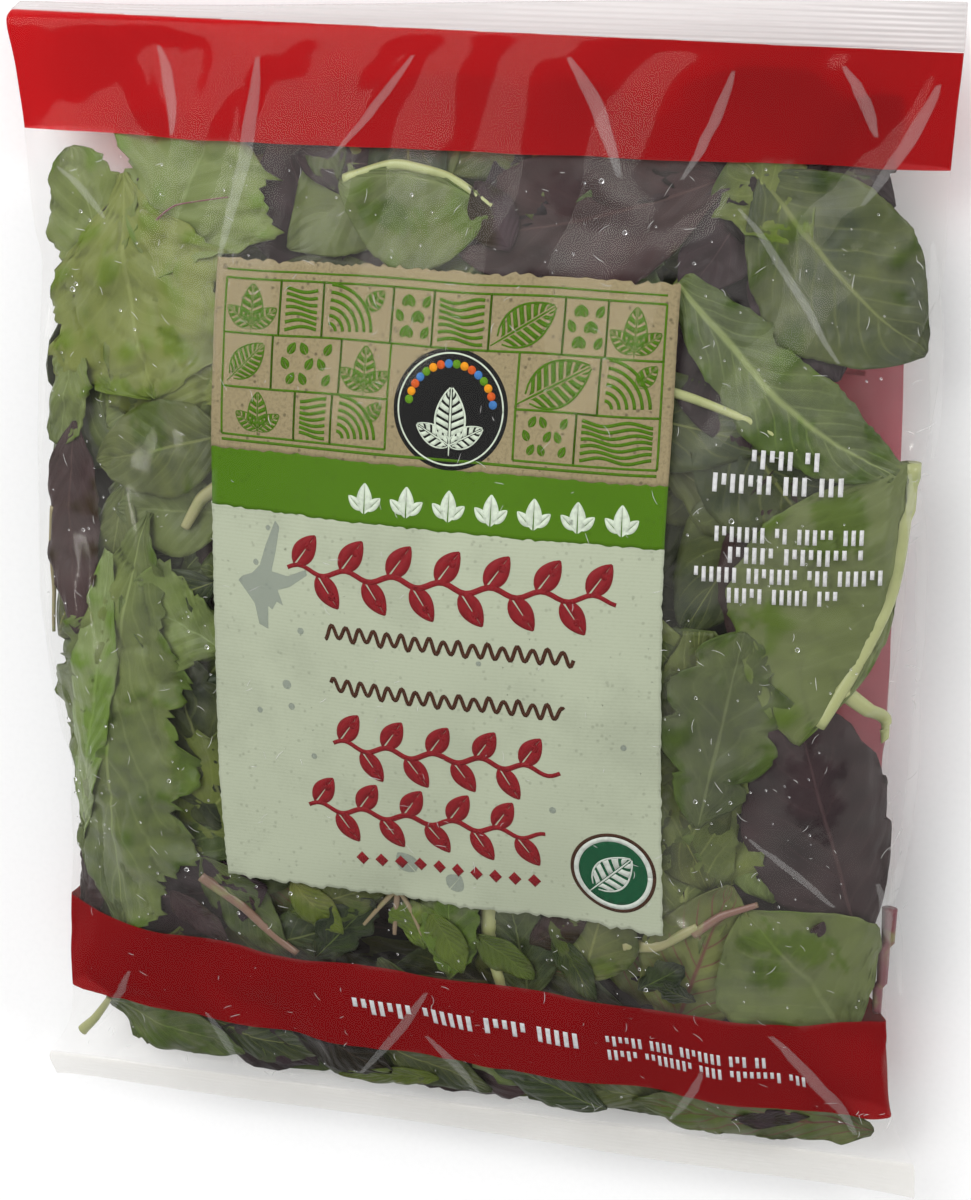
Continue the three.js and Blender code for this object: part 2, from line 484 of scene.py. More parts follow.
def settle(film, settings):
    """Lets the slack film buckle into its wrinkles. The seals and the face on the floor are held."""
    start = places(film)
    across, along = np.abs(start[:, 0]), start[:, 1]
    held = (along > TOP_LINE) | (along < BOTTOM_LINE) | (start[:, 2] < 1.2 * MM)
    held |= (across > 97 * MM) & ((along > TOP_LINE - 42 * MM) | (along < BOTTOM_LINE + 24 * MM))
    group = film.vertex_groups.new(name="held")
    group.add([int(i) for i in np.flatnonzero(held)], 1.0, "REPLACE")
    cloth = film.modifiers.new("Settle", "CLOTH")
    sheet = cloth.settings
    sheet.quality = 6
    sheet.mass = 0.2
    sheet.tension_stiffness = sheet.compression_stiffness = 40
    sheet.shear_stiffness = 20
    sheet.bending_stiffness = 0.6
    sheet.tension_damping = sheet.compression_damping = sheet.shear_damping = 12
    sheet.bending_damping = 1
    sheet.air_damping = 6
    sheet.shrink_min = sheet.shrink_max = -settings.slack
    sheet.vertex_group_mass = group.name
    sheet.use_pressure = True
    sheet.uniform_pressure_force = settings.pressure
    sheet.effector_weights.gravity = 0
    cloth.collision_settings.use_collision = False
    cloth.point_cache.frame_end = SETTLE_FRAMES
    for step in range(1, SETTLE_FRAMES + 1):
        bpy.context.scene.frame_set(step)
    pick(film)
    bpy.ops.object.modifier_apply(modifier=cloth.name)
    bpy.context.scene.frame_set(1)
    with_modifier(film, "SMOOTH", factor=0.5, iterations=2)
    moved = places(film) - start
    far = np.linalg.norm(moved, axis=1, keepdims=True)
    moved *= np.minimum(1.0, MOST_MOVED / np.maximum(far, 1e-9))
    settled = start + moved
    settled[:, 2] = np.maximum(settled[:, 2], 0.0)
    settled[:, 0] = np.clip(settled[:, 0], LOW.x, HIGH.x)
    set_places(film, settled)
    film.vertex_groups.clear()


# Sharp creases of the front film: where each starts and stops, and how high it stands, in mm.
CREASES = (
    ((-72, 124), (-66, 103), 0.5), ((-66, 122), (-69, 108), -0.4), ((-46, 125), (-52, 78), 0.6),
    ((-43, 120), (-47, 96), -0.5), ((-10, 124), (-28, 100), 0.5), ((22, 125), (36, 98), 0.6),
    ((28, 124), (31, 112), -0.5), ((60, 123), (50, 98), 0.5), ((82, 124), (90, 108), 0.5),
    ((104, 122), (88, 94), 0.7), ((100, 124), (96, 104), -0.5), ((60, 96), (86, 62), 0.35),
    ((-96, 96), (-82, 84), 0.4), ((-97, 70), (-99, 20), 0.4), ((-95, 12), (-97, -50), 0.4),
    ((103, 92), (105, 40), 0.5), ((101, 44), (104, -10), 0.5), ((104, -6), (101, -60), 0.5),
    ((98, -50), (103, -84), 0.4), ((-96, -120), (-80, -96), 0.5), ((-88, -122), (-86, -108), -0.4),
    ((-26, -121), (-4, -90), 0.6), ((6, -122), (-6, -104), 0.5), ((16, -123), (12, -98), -0.5),
    ((50, -123), (60, -104), 0.5), ((96, -122), (76, -92), 0.6), ((86, -124), (92, -108), -0.4),
    ((-56, -123), (-62, -106), 0.5), ((57, 30), (64, -10), 0.3), ((-60, 74), (-84, 66), 0.3),
    ((-57, -20), (-62, -56), 0.3), ((70, -40), (90, -58), 0.35),
)
CREASE_REACH = 2.4  # how far from its line a crease dies away, in mm
RIPPLE = 0.055 * MM


def ruffle(film):
    """The sharp creases, and the slight unevenness that breaks up what the film reflects."""
    co, normals = places(film), normals_of(film)
    x, y = co[:, 0], co[:, 1]
    rise = smooth_noise(x, y, 31, 6, 9 * MM) + 0.5 * smooth_noise(x, y, 32, 6, 5 * MM)
    rise = RIPPLE * rise * (co[:, 2] > 1 * MM)
    for start, stop, high in CREASES:
        run = np.array(stop, float) - start
        off = np.stack([x / MM - start[0], y / MM - start[1]])
        along = np.clip((off[0] * run[0] + off[1] * run[1]) / (run @ run), 0, 1)
        far = np.hypot(off[0] - run[0] * along, off[1] - run[1] * along)
        fade = np.sin(math.pi * (0.06 + 0.88 * along)) ** 0.6
        ridge = np.clip(1 - far / CREASE_REACH, 0, 1) * (normals[:, 2] > 0.1)
        rise = rise + high * MM * fade * ridge
    co = co + normals * rise[:, None]
    co[:, 0] = np.clip(co[:, 0], LOW.x, HIGH.x)
    set_places(film, co)


def make_film():
    settings = bpy.context.scene.salad_film
    film = copy_of_bag()
    with_modifier(film, "SUBSURF", levels=1, render_levels=1)
    settle(film, settings)
    with_modifier(film, "SUBSURF", levels=1, render_levels=1)
    ruffle(film)
    finish(film, film_finish())
    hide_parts("salad_bag")


class Room:
    """The room inside the film: the heights of its front and its back on one grid."""

    PITCH = 1 * MM
    STIFF_OVER = 4  # cells to each side over which a stiff leaf evens the film's heights out
    LEAST_HEIGHT = 3.2 * MM  # lower parts of the bag hold no leaves

    def __init__(self, film):
        self.tree = BVHTree.FromObject(film, bpy.context.evaluated_depsgraph_get())
        self.x = np.arange(LOW.x, HIGH.x + self.PITCH, self.PITCH)
        self.y = np.arange(BOTTOM_LINE, TOP_LINE + self.PITCH, self.PITCH)
        self.front, self.back = self.heights(1), self.heights(-1)
        self.soft_front = np.minimum(self.softened(self.front), self.front)
        self.soft_back = np.maximum(self.softened(self.back), self.back)
        open_enough = self.front - self.back > self.LEAST_HEIGHT
        across = np.broadcast_to(self.x, open_enough.shape)
        self.left = np.where(open_enough, across, np.inf).min(1)
        self.right = np.where(open_enough, across, -np.inf).max(1)
        rows = np.flatnonzero(open_enough.any(1))
        self.bottom, self.top = self.y[rows[0]] + 1.5 * MM, self.y[rows[-1]] - 1.5 * MM
        self.left[~open_enough.any(1)] = self.left[rows[0]]
        self.right[~open_enough.any(1)] = self.right[rows[0]]

    def height(self, x, y, side=1):
        """Height of the front (side 1) or the back (-1) at one point."""
        hit = self.tree.ray_cast(Vector((x, y, side)), Vector((0, 0, -side)))[0]
        return hit.z if hit is not None else SIDE_HEIGHT

    def heights(self, side):
        return np.array([[self.height(x, y, side) for x in self.x] for y in self.y])

    def softened(self, heights):
        """Heights averaged over a square of cells, as a stiff leaf follows them."""
        reach = self.STIFF_OVER
        padded = np.pad(heights, reach, mode="edge")
        size = 2 * reach + 1
        total = sum(padded[j:j + heights.shape[0], :] for j in range(size)) / size
        return sum(total[:, i:i + heights.shape[1]] for i in range(size)) / size

    def at(self, name, x, y):
        """One of the height maps at points of x and y."""
        heights = getattr(self, name)
        i = np.clip((x - self.x[0]) / self.PITCH, 0, len(self.x) - 1.001)
        j = np.clip((y - self.y[0]) / self.PITCH, 0, len(self.y) - 1.001)
        i0, j0 = i.astype(int), j.astype(int)
        a, b = i - i0, j - j0
        return ((1 - a) * (1 - b) * heights[j0, i0] + a * (1 - b) * heights[j0, i0 + 1]
                + (1 - a) * b * heights[j0 + 1, i0] + a * b * heights[j0 + 1, i0 + 1])

    def hold(self, x, y, margin=7 * MM):
        """Points kept inside the film: what would stick out is drawn in along the side."""
        y = np.clip(y, self.bottom, self.top)
        j = np.clip(np.round((y - self.y[0]) / self.PITCH).astype(int), 0, len(self.y) - 1)
        low, high = self.left[j], self.right[j]
        over = np.maximum(x - (high - margin), 0)
        under = np.maximum((low + margin) - x, 0)
        x = x - over + margin * np.tanh(over / margin)
        x = x + under - margin * np.tanh(under / margin)
        return x, y

    def lay(self, x, y, depth, relief, side=1):
        """Heights of leaf points that lie depth under the front (side 1) or over the back (-1)."""
        front, back = self.at("front", x, y), self.at("back", x, y)
        if side > 0:
            z = self.at("soft_front", x, y) - LEAF_GAP - depth + relief
        else:
            z = self.at("soft_back", x, y) + LEAF_GAP + depth - relief
        low = back + LEAF_GAP
        high = np.maximum(front - LEAF_GAP, low + 0.1 * MM)
        touching = (high - z if side > 0 else z - low)
        return np.clip(z, low, high), touching


@functools.lru_cache(maxsize=1)
def room():
    return Room(bpy.data.objects["film"])


# Leaves

def ovate(u):
    return np.sin(np.pi * u ** 0.82) ** 0.72


def fan(u):
    return np.sin(np.pi * np.clip(u, 0, 1) ** 1.35) ** 0.62


def strap(u):
    return 0.25 + 0.75 * np.sin(np.pi * u ** 1.1) ** 0.6 * (1 - u ** 9)


def lobed(u):
    bays = np.abs(np.sin(np.pi * (3.6 * u + 0.15))) ** 0.6
    return np.sin(np.pi * u ** 1.1) ** 0.6 * (0.55 + 0.45 * bays)


class LeafKind:
    """How one kind of leaf grows: its outline, how deep its teeth are as a share of its width,
    how high its frill, its quilting and its crumpling are in mm, how many quilted cells it has
    along each side, how high its rib stands in mm, and how much darker its tip is."""

    def __init__(self, outline, teeth, frill, quilt, crumple, laterals, rib=0.6, darker=0.0):
        self.outline, self.teeth, self.laterals, self.darker = outline, teeth, laterals, darker
        self.frill, self.quilt, self.crumple, self.rib = frill * MM, quilt * MM, crumple * MM, rib * MM


KINDS = {
    "frilly": LeafKind(fan, 0.19, 1.9, 0.35, 1.6, 6, darker=0.3),
    "long": LeafKind(strap, 0.06, 1.2, 0.3, 0.9, 10, rib=1.0),
    "smooth": LeafKind(ovate, 0.025, 0.8, 0.25, 1.0, 7),
    "redvein": LeafKind(ovate, 0.03, 0.9, 0.3, 1.0, 8),
    "purple": LeafKind(ovate, 0.03, 1.1, 0.22, 1.2, 7),
    "oak": LeafKind(lobed, 0.08, 1.2, 0.25, 1.0, 5),
}


class Leaf:
    """One leaf: its kind, where its rib starts and ends over the floor in mm, its width in mm,
    its depth under the film in mm at its base and its tip, how far its rib bends aside, the
    shares of its two halves that show where it is folded along the rib, whether it lies under
    the front (side 1) or over the back (-1), and how dark it is."""

    def __init__(self, kind, base, tip, width, depth, bend=0.0, halves=(1.0, 1.0), side=1, tint=0.4):
        self.kind, self.width, self.side, self.tint = kind, width * MM, side, tint
        self.base, self.tip = np.array(base) * MM, np.array(tip) * MM
        self.depth, self.bend, self.halves = depth, bend, halves


# Where a leaf is pressed flat and wet against the front: the middle of each patch, its two
# half widths, and its turn, in mm and radians.
PRESSED = (
    (-61, 58, 6.0, 2.6, -0.7), (-79, 46.7, 8.5, 2.6, 0.35), (84, -68, 9.0, 3.6, -0.45),
    (74, -66.5, 4.5, 3.0, 0.2), (76, 43, 9.0, 7.0, -0.9), (88, 28, 6.0, 8.0, -0.5),
    (-55, 2, 5.0, 6.5, 0.3), (-13, 88, 8.0, 3.6, -0.3), (4, 90, 5.0, 6.0, 0.6),
    (-2, -76, 46.0, 9.0, -0.06), (-56, -32, 6.0, 26.0, 0.04), (-68, 42, 5.0, 9.0, 0.5),
    (52, -78, 7.5, 3.4, -0.3), (-81, -30, 4.0, 13.0, -0.25), (0, -117, 75.0, 5.5, -0.03),
    (64, 6, 6.0, 5.0, 0.4), (60, 22, 7.0, 5.0, 0.3), (56, -28, 3.0, 9.0, 0.1),
    (86, -30, 6.0, 12.0, 0.1), (30, 92, 10.0, 5.0, -0.3),
)


def wetness(x, y):
    """1 inside the wet patches, and 0 outside them."""
    wet = np.zeros(np.shape(x))
    uneven = 0.5 * smooth_noise(x, y, 71, 6, 6 * MM) + 0.3 * smooth_noise(x, y, 72, 6, 2.5 * MM)
    for px, py, wide, high, turn in PRESSED:
        dx, dy, c, s = x / MM - px, y / MM - py, math.cos(turn), math.sin(turn)
        far = np.hypot((dx * c + dy * s) / wide, (dy * c - dx * s) / high)
        wet = np.maximum(wet, np.clip((1.0 + uneven - far) * 7, 0, 1))
    return wet


USUAL_REACH = 60 * MM  # a leaf of this length has the usual number of teeth


def leaf_grid(leaf, number, pitch):
    """Points, faces and layout of one leaf laid into the bag."""
    kind = KINDS[leaf.kind]
    draw = np.random.default_rng(1000 + number)
    run = leaf.tip - leaf.base
    reach = np.hypot(*run)
    ahead = run / reach
    aside = np.array([ahead[1], -ahead[0]])
    rows = int(np.clip(round(reach / pitch), 8, 110))
    columns = 2 * int(np.clip(round(leaf.width / pitch / 2), 4, 34))
    u = np.linspace(0, 1, rows + 1)[:, None] * np.ones((1, columns + 1))
    v = np.linspace(-1, 1, columns + 1)[None, :] * np.ones((rows + 1, 1))
    edge = np.abs(v)
    phase = draw.uniform(0, 2 * math.pi, 8)
    right = v > 0

    def ripple(pace, a, b):
        return np.sin(2 * np.pi * pace * u + np.where(right, phase[a], phase[b]))

    size = reach / USUAL_REACH
    notches = 0.8 * ripple(2.7 * size, 0, 1) + 0.7 * (0.5 - np.abs(ripple(4.7 * size, 2, 3)))
    notches = notches + 0.5 * (0.5 - np.abs(ripple(9.3 * size + 1.5 * np.sin(7 * u), 4, 5)))
    notches = notches + 0.45 * (0.5 - np.abs(ripple(15 * size, 6, 7)))
    half = leaf.width / 2 * np.maximum(kind.outline(u), 0.05)
    half = half * (1 + kind.teeth * notches * edge ** 3) * np.where(right, leaf.halves[1], leaf.halves[0])
    bow = leaf.bend * reach * np.sin(np.pi * u)
    forward = reach * u + 0.28 * edge * half * (1 - u) * (u > 0.02)
    sideways = v * half + bow
    x = leaf.base[0] + ahead[0] * forward + aside[0] * sideways
    y = leaf.base[1] + ahead[1] * forward + aside[1] * sideways
    frill = kind.frill * edge ** 2.2 * (0.6 * ripple(3.1 * size, 1, 4) + 0.4 * ripple(7.7 * size, 5, 0))
    lateral = kind.laterals * u - 1.2 * edge
    quilt = kind.quilt * (np.abs(np.sin(np.pi * lateral)) - 0.6) * np.minimum(1, edge * 6) * (1 - edge ** 6)
    grain = 0.35 * MM * smooth_noise(x, y, 50 + number, 4, 8 * MM)
    crumpled = smooth_noise(x, y, 90, 5, 17 * MM) + 0.4 * smooth_noise(x, y, 91, 5, 8 * MM)
    pinched = np.abs(smooth_noise(x, y, 120 + number // 5, 4, 14 * MM)) < 0.07
    grain = grain + kind.crumple * crumpled
    grain = grain - 0.5 * kind.crumple * pinched
    rib = kind.rib * np.exp(-((v * half) / (1.3 * MM + 1.2 * MM * (1 - u))) ** 2) * (1 - 0.7 * u)
    relief = frill + quilt + grain - rib * leaf.side
    depth = (leaf.depth[0] + (leaf.depth[1] - leaf.depth[0]) * u) * MM
    x, y = room().hold(x, y)
    z, off_film = room().lay(x, y, depth, relief, leaf.side)
    points = np.stack([x, y, z], -1).reshape(-1, 3)
    faces = grid_faces(rows, columns)
    if leaf.side < 0:
        faces = faces[:, [0, 3, 2, 1]]
    spread = np.stack([v / 2 + 0.5, u], -1).reshape(-1, 2)
    wet = np.clip(1 - (off_film - 0.10 * MM) / (0.5 * MM), 0, 1).ravel()
    wet = np.maximum(wet, wetness(points[:, 0], points[:, 1]) * (depth.ravel() < 1.5 * MM))
    tint = leaf.tint + 0.10 * draw.uniform(-1, 1) + 0.34 * smooth_noise(x, y, 150 + number, 6, 21 * MM)
    tint = tint + 0.20 * smooth_noise(x, y, 151 + number, 6, 5.5 * MM) + kind.darker * (u - 0.5)
    warm = np.full(len(points), draw.uniform(0.35, 0.95))
    return points, faces, spread, {"wet": wet, "tint": np.clip(tint.ravel(), 0, 1), "warm": warm}


def make_leaves(name, leaves, first_number, material, pitch):
    """Joins the leaves of one kind into one piece, each of them a thin closed body."""
    sheets = [leaf_grid(leaf, first_number + i, pitch(leaf)) for i, leaf in enumerate(leaves)]
    starts = np.cumsum([0] + [len(s[0]) for s in sheets[:-1]])
    points = np.concatenate([s[0] for s in sheets])
    faces = np.concatenate([s[1] + start for s, start in zip(sheets, starts)])
    spread = np.concatenate([s[2] for s in sheets])
    piece = new_piece(name, points, faces)
    layer = piece.data.uv_layers.new(name="leaf")
    corners = np.empty(len(piece.data.loops), int)
    piece.data.loops.foreach_get("vertex_index", corners)
    layer.data.foreach_set("uv", spread[corners].ravel())
    for value in sheets[0][3]:
        give_values(piece, value, np.concatenate([s[3][value] for s in sheets]))
    wall(piece, LEAF_WALL)
    return finish(piece, material)


# The leaves that show through the front, listed from the top of the bag to its bottom.
SHOWN = [
    Leaf("frilly", (-78, 94), (-66, 46), 58, (0.5, 1.0), 0.05, tint=0.05),
    Leaf("frilly", (-68, 72), (-56, 106), 46, (1.6, 0.9), tint=0.12),
    Leaf("frilly", (-78, 62), (-92, 99), 26, (1.9, 1.0), tint=0.02),
    Leaf("smooth", (0, 106), (-37, 80), 29, (3.0, 3.4), 0.05, tint=0.35),
    Leaf("purple", (-26, 68), (-42, 106), 24, (5.0, 4.4), tint=0.5),
    Leaf("smooth", (10, 90), (-26, 95), 40, (0.5, 0.9), 0.10, (1.0, 0.12), tint=0.1),
    Leaf("purple", (58, 98), (-2, 84), 34, (1.4, 1.8), -0.04, tint=0.45),
    Leaf("purple", (24, 72), (42, 108), 32, (3.0, 3.2), tint=0.6),
    Leaf("purple", (14, 82), (5, 96), 11, (0.2, 0.2), tint=0.15),
    Leaf("smooth", (66, 99), (104.5, 63), 36, (0.7, 0.9), 0.03, tint=0.72),
    Leaf("frilly", (78, 84), (61, 104), 22, (1.3, 0.7), tint=0.42),
    Leaf("purple", (66, 100), (52, 74), 18, (2.2, 2.2), -0.05, tint=0.6),
    Leaf("purple", (70, 92), (86, 58), 24, (2.4, 2.4), tint=0.5),
    Leaf("purple", (53, 76), (68, 42), 20, (2.3, 2.3), tint=0.7),
    Leaf("long", (51, 77), (99, 38), 20, (0.8, 0.6), 0.05, tint=0.92),
    Leaf("smooth", (58, 58), (88, 20), 30, (3.2, 2.6), tint=0.95),
    Leaf("frilly", (-46, 48), (-80, 62), 32, (2.2, 1.6), tint=0.4),
    Leaf("frilly", (-90, 60), (-93, 32), 16, (1.3, 1.3), tint=0.25),
    Leaf("frilly", (-46, 60), (-80, 38), 32, (3.2, 2.8), tint=0.5),
    Leaf("smooth", (-47, 40), (-82, 30), 22, (0.9, 1.1), tint=0.4),
    Leaf("purple", (-89, 38), (-86, -10), 17, (0.5, 0.6), 0.03, tint=0.3),
    Leaf("smooth", (-47, 22), (-76, 20), 20, (2.4, 2.4), tint=0.1),
    Leaf("frilly", (-45, -10), (-74, 1), 24, (2.4, 2.0), tint=0.3),
    Leaf("long", (-95, -66), (-78, 10), 15, (0.4, 0.6), 0.05, (1.0, 0.7), tint=0.05),
    Leaf("frilly", (-68, 20), (-80, -84), 46, (1.2, 1.3), 0.04, tint=0.62),
    Leaf("smooth", (-74, 26), (-81, -6), 12, (2.2, 2.2), tint=0.4),
    Leaf("oak", (-45, -56), (-64, -12), 32, (3.4, 3.4), tint=0.9),
    Leaf("purple", (-40, -66), (-88, -78), 24, (2.0, 3.4), tint=0.55),
    Leaf("purple", (-99, -90), (-86, -60), 15, (3.0, 3.2), tint=0.5),
    Leaf("smooth", (-90, -108), (-54, -118), 15, (0.5, 0.5), tint=0.45),
    Leaf("smooth", (-62, -110), (-34, -116), 14, (1.6, 1.6), tint=1.0),
    Leaf("purple", (-42, -103), (-16, -117), 18, (0.3, 0.3), tint=1.0),
    Leaf("smooth", (-18, -110), (8, -120), 13, (1.5, 1.5), tint=0.9),
    Leaf("smooth", (36, -121), (8, -107), 13, (0.6, 0.6), tint=0.95),
    Leaf("smooth", (52, -120), (28, -112), 12, (1.7, 1.7), tint=0.6),
    Leaf("redvein", (99, -118), (42, -118), 18, (0.6, 0.7), tint=0.7),
    Leaf("purple", (66, -119), (84, -116), 5, (0.2, 0.2), tint=0.5),
    Leaf("smooth", (-5, -118), (-30, -120), 6, (0.6, 0.6), tint=0.3),
    Leaf("smooth", (-55, -60), (-37, -86), 16, (2.0, 2.0), tint=0.6),
    Leaf("purple", (-58, -64), (-36, -87), 12, (3.2, 3.2), tint=0.2),
    Leaf("smooth", (-34, -71), (-10, -61), 13, (0.9, 0.8), tint=0.55),
    Leaf("smooth", (-42, -82), (-16, -72), 16, (2.2, 2.4), tint=1.0),
    Leaf("frilly", (2, -86), (5, -59), 17, (0.8, 0.8), tint=0.5),
    Leaf("smooth", (20, -90), (18, -60), 18, (1.9, 2.1), tint=0.75),
    Leaf("smooth", (34, -82), (41, -57), 21, (0.7, 0.8), tint=0.55),
    Leaf("oak", (-30, -84), (-14, -66), 12, (0.6, 0.6), tint=1.0),
    Leaf("smooth", (0, -67), (6, -83), 9, (0.2, 0.2), tint=0.0),
    Leaf("smooth", (-33, -62), (-22, -76), 9, (0.3, 0.3), tint=0.1),
    Leaf("smooth", (10, -72), (22, -84), 9, (0.5, 0.5), tint=0.35),
    Leaf("smooth", (28, -70), (37, -88), 8, (0.3, 0.3), tint=0.95),
    Leaf("purple", (-64, -70), (-52, -84), 9, (0.4, 0.4), tint=0.3),
    Leaf("purple", (22, -74), (36, -64), 9, (0.6, 0.6), tint=0.6),
    Leaf("oak", (10, -68), (36, -88), 17, (3.2, 3.2), tint=0.9),
    Leaf("smooth", (92, -95), (71, -60), 40, (0.5, 0.8), 0.06, tint=0.03),
    Leaf("oak", (47, -82), (58, -74), 9, (0.4, 0.4), tint=1.0),
    Leaf("oak", (60, -84), (52, -79), 7, (0.3, 0.3), tint=1.0),
    Leaf("frilly", (-3, -78), (-5, -65), 15, (0.5, 0.5), tint=0.55),
    Leaf("purple", (86, -66), (88, -62), 3, (0.2, 0.2), tint=0.1),
    Leaf("redvein", (54, -94), (68, -54), 27, (1.9, 2.2), tint=0.25),
    Leaf("purple", (95, -68), (80, -8), 35, (2.0, 2.2), tint=0.6),
    Leaf("purple", (78, -64), (70, -20), 29, (3.8, 3.8), tint=0.8),
    Leaf("oak", (61, -40), (70, 5), 30, (0.7, 0.7), tint=0.35),
    Leaf("long", (57, -72), (60, 4), 25, (2.8, 3.2), tint=0.8),
    Leaf("smooth", (103, 40), (82, -20), 66, (1.0, 0.8), -0.10, (0.10, 1.0), tint=0.05),
]

INNER_KINDS = ("frilly", "smooth", "purple", "smooth", "oak", "long", "frilly", "redvein", "purple")
WIDTHS = {"frilly": 0.72, "long": 0.34, "smooth": 0.5, "redvein": 0.52, "purple": 0.5, "oak": 0.55}


def drawn_leaves(number, seed, depths, side=1, lengths=(42, 74), rows=(-112, 99), left=-96,
                 kinds=INNER_KINDS):
    """Loose leaves drawn at random, kept off the bag's empty corner and its right edge."""
    draw = np.random.default_rng(seed)
    made = []
    while len(made) < number:
        x, y = draw.uniform(left, 96), draw.uniform(*rows)
        kind = kinds[int(draw.integers(len(kinds)))]
        long = draw.uniform(*lengths)
        turn = draw.uniform(0, 2 * math.pi)
        step = np.array([math.cos(turn), math.sin(turn)]) * long / 2
        depth = draw.uniform(*depths, 2)
        # Loose leaves are drawn darker than most shown leaves: partly their own tone, partly painted shade
        # that deepens the gaps between the leaves.
        bend, share, tint = draw.uniform(-0.08, 0.08), draw.uniform(0.85, 1.15), draw.uniform(0.45, 1.1)
        if x < -60 and y > 78:
            continue
        right = 84 if -50 < y < 92 else 95
        top = 104 if x < -45 else 116
        base = np.clip((x - step[0], y - step[1]), (left, -121), (right, top))
        tip = np.clip((x + step[0], y + step[1]), (left, -121), (right, top))
        reach = np.hypot(*(tip - base))
        if reach < 0.55 * long:
            continue
        wide = reach * WIDTHS[kind] * share
        over = max(base[0], tip[0]) + wide / 2 - (right + 9)
        if over > 0:
            base[0], tip[0] = base[0] - over, tip[0] - over
        made.append(Leaf(kind, base, tip, wide, tuple(depth), bend, side=side, tint=tint))
    return made


# Each kind's piece and slot, and its finish: the blade, the deepest shade, the rib, how many
# side veins, how wide the rib is and how clear the side veins are, then gloss and net if unusual.
LEAF_PIECES = (
    ("frilly", "leaves_frilly", "green_leaf", (0.130, 0.168, 0.040), (0.036, 0.055, 0.013),
     (0.18, 0.225, 0.08), 7, 0.03, 0.22),
    ("long", "leaves_long", "green_leaf", (0.155, 0.200, 0.060), (0.05, 0.072, 0.02),
     (0.21, 0.26, 0.10), 11, 0.10, 0.25),
    ("smooth", "leaves_smooth", "green_leaf", (0.100, 0.122, 0.032), (0.016, 0.027, 0.009),
     (0.14, 0.165, 0.055), 8, 0.04, 0.25),
    ("redvein", "leaves_red_veined", "green_leaf", (0.118, 0.142, 0.040), (0.036, 0.045, 0.018),
     (0.11, 0.015, 0.03), 8, 0.05, 0.7),
    ("purple", "leaves_purple", "purple_leaf", (0.042, 0.023, 0.029), (0.012, 0.008, 0.011),
     (0.06, 0.035, 0.04), 8, 0.03, 0.2, 0.08, 0.0),
    ("oak", "leaves_lobed", "purple_leaf", (0.078, 0.100, 0.026), (0.009, 0.015, 0.006),
     (0.11, 0.13, 0.05), 6, 0.04, 0.2),
)

# How fine each leaf's grid is: those listed one by one, the drawn ones near them, and the others.
SHOWN_PITCH, NEAR_PITCH, LOOSE_PITCH = 1.1 * MM, 2.1 * MM, 3.4 * MM


def make_all_leaves():
    settings = bpy.context.scene.salad_leaves
    seed = settings.seed
    near = drawn_leaves(settings.near, seed + 2, (2.0, 6.5), lengths=(26, 60), rows=(-96, 99))
    near += drawn_leaves(24, seed + 3, (1.5, 4.5), lengths=(24, 44), rows=(-120, -98))
    near += drawn_leaves(18, seed + 4, (1.5, 4.5), lengths=(30, 50), rows=(100, 115), left=-40,
                         kinds=("purple", "smooth"))
    loose = near + drawn_leaves(settings.inner, seed, (7.0, 24.0))
    loose += drawn_leaves(settings.behind, seed + 1, (0.4, 3.5), side=-1)
    pitches = {id(leaf): NEAR_PITCH for leaf in near}
    pitches.update({id(leaf): SHOWN_PITCH for leaf in SHOWN})
    number = 0
    for kind, name, slot, *colours in LEAF_PIECES:
        leaves = [leaf for leaf in SHOWN + loose if leaf.kind == kind]
        material = leaf_finish(name.removeprefix("leaves_") + "_leaf", *colours)
        make_leaves(name, leaves, number, material, lambda leaf: pitches.get(id(leaf), LOOSE_PITCH))
        number += len(leaves)


# Stems: the points of each one's run in mm, its thickness in mm, its depth in mm and its tint.
STEMS = [
    ([(101.5, 40), (101.5, 28), (99, 12), (93, -3), (86, -16)], 4.4, 0.6, 0.06),
    ([(91, -9), (98, -15), (103, -21)], 3.8, 0.8, 0.1),
    ([(50, 55), (60, 52), (70, 49), (79, 44)], 2.2, 0.5, 0.05),
    ([(103, -62), (102, -74), (100, -88)], 3.4, 0.9, 1.0),
    ([(44, -71), (52, -70), (61, -64)], 3.4, 0.8, 0.35),
    ([(-48, 29), (-54, 25), (-58, 18)], 3.6, 0.7, 0.3),
    ([(-99, -120), (-95, -116), (-89, -108)], 2.6, 0.6, 0.15),
    ([(-25, 95), (-14, 99), (-2, 97), (9, 91)], 2.6, 0.4, 0.0),
    ([(-56, -65), (-46, -73), (-34, -83)], 2.8, 1.0, 0.8),
    ([(13, -64), (12, -75), (14, -88)], 4.0, 1.0, 0.1),
    ([(-69, 83.5), (-66, 86.5), (-63, 88.5), (-51, 90.5)], 0.5, 0.3, 1.0),
    ([(-8, -62), (-9, -68), (-10, -75)], 1.6, 0.3, 0.7),
    ([(-8, -62), (-5, -68), (-3, -74)], 1.3, 0.3, 0.6),
    ([(-8, -62), (-13, -68), (-17, -73)], 1.3, 0.3, 0.6),
    ([(-94, 18), (-96, 4), (-95, -12)], 1.4, 0.4, 0.5),
    ([(60, -66), (66, -61), (74, -58)], 2.2, 0.6, 0.85),
]


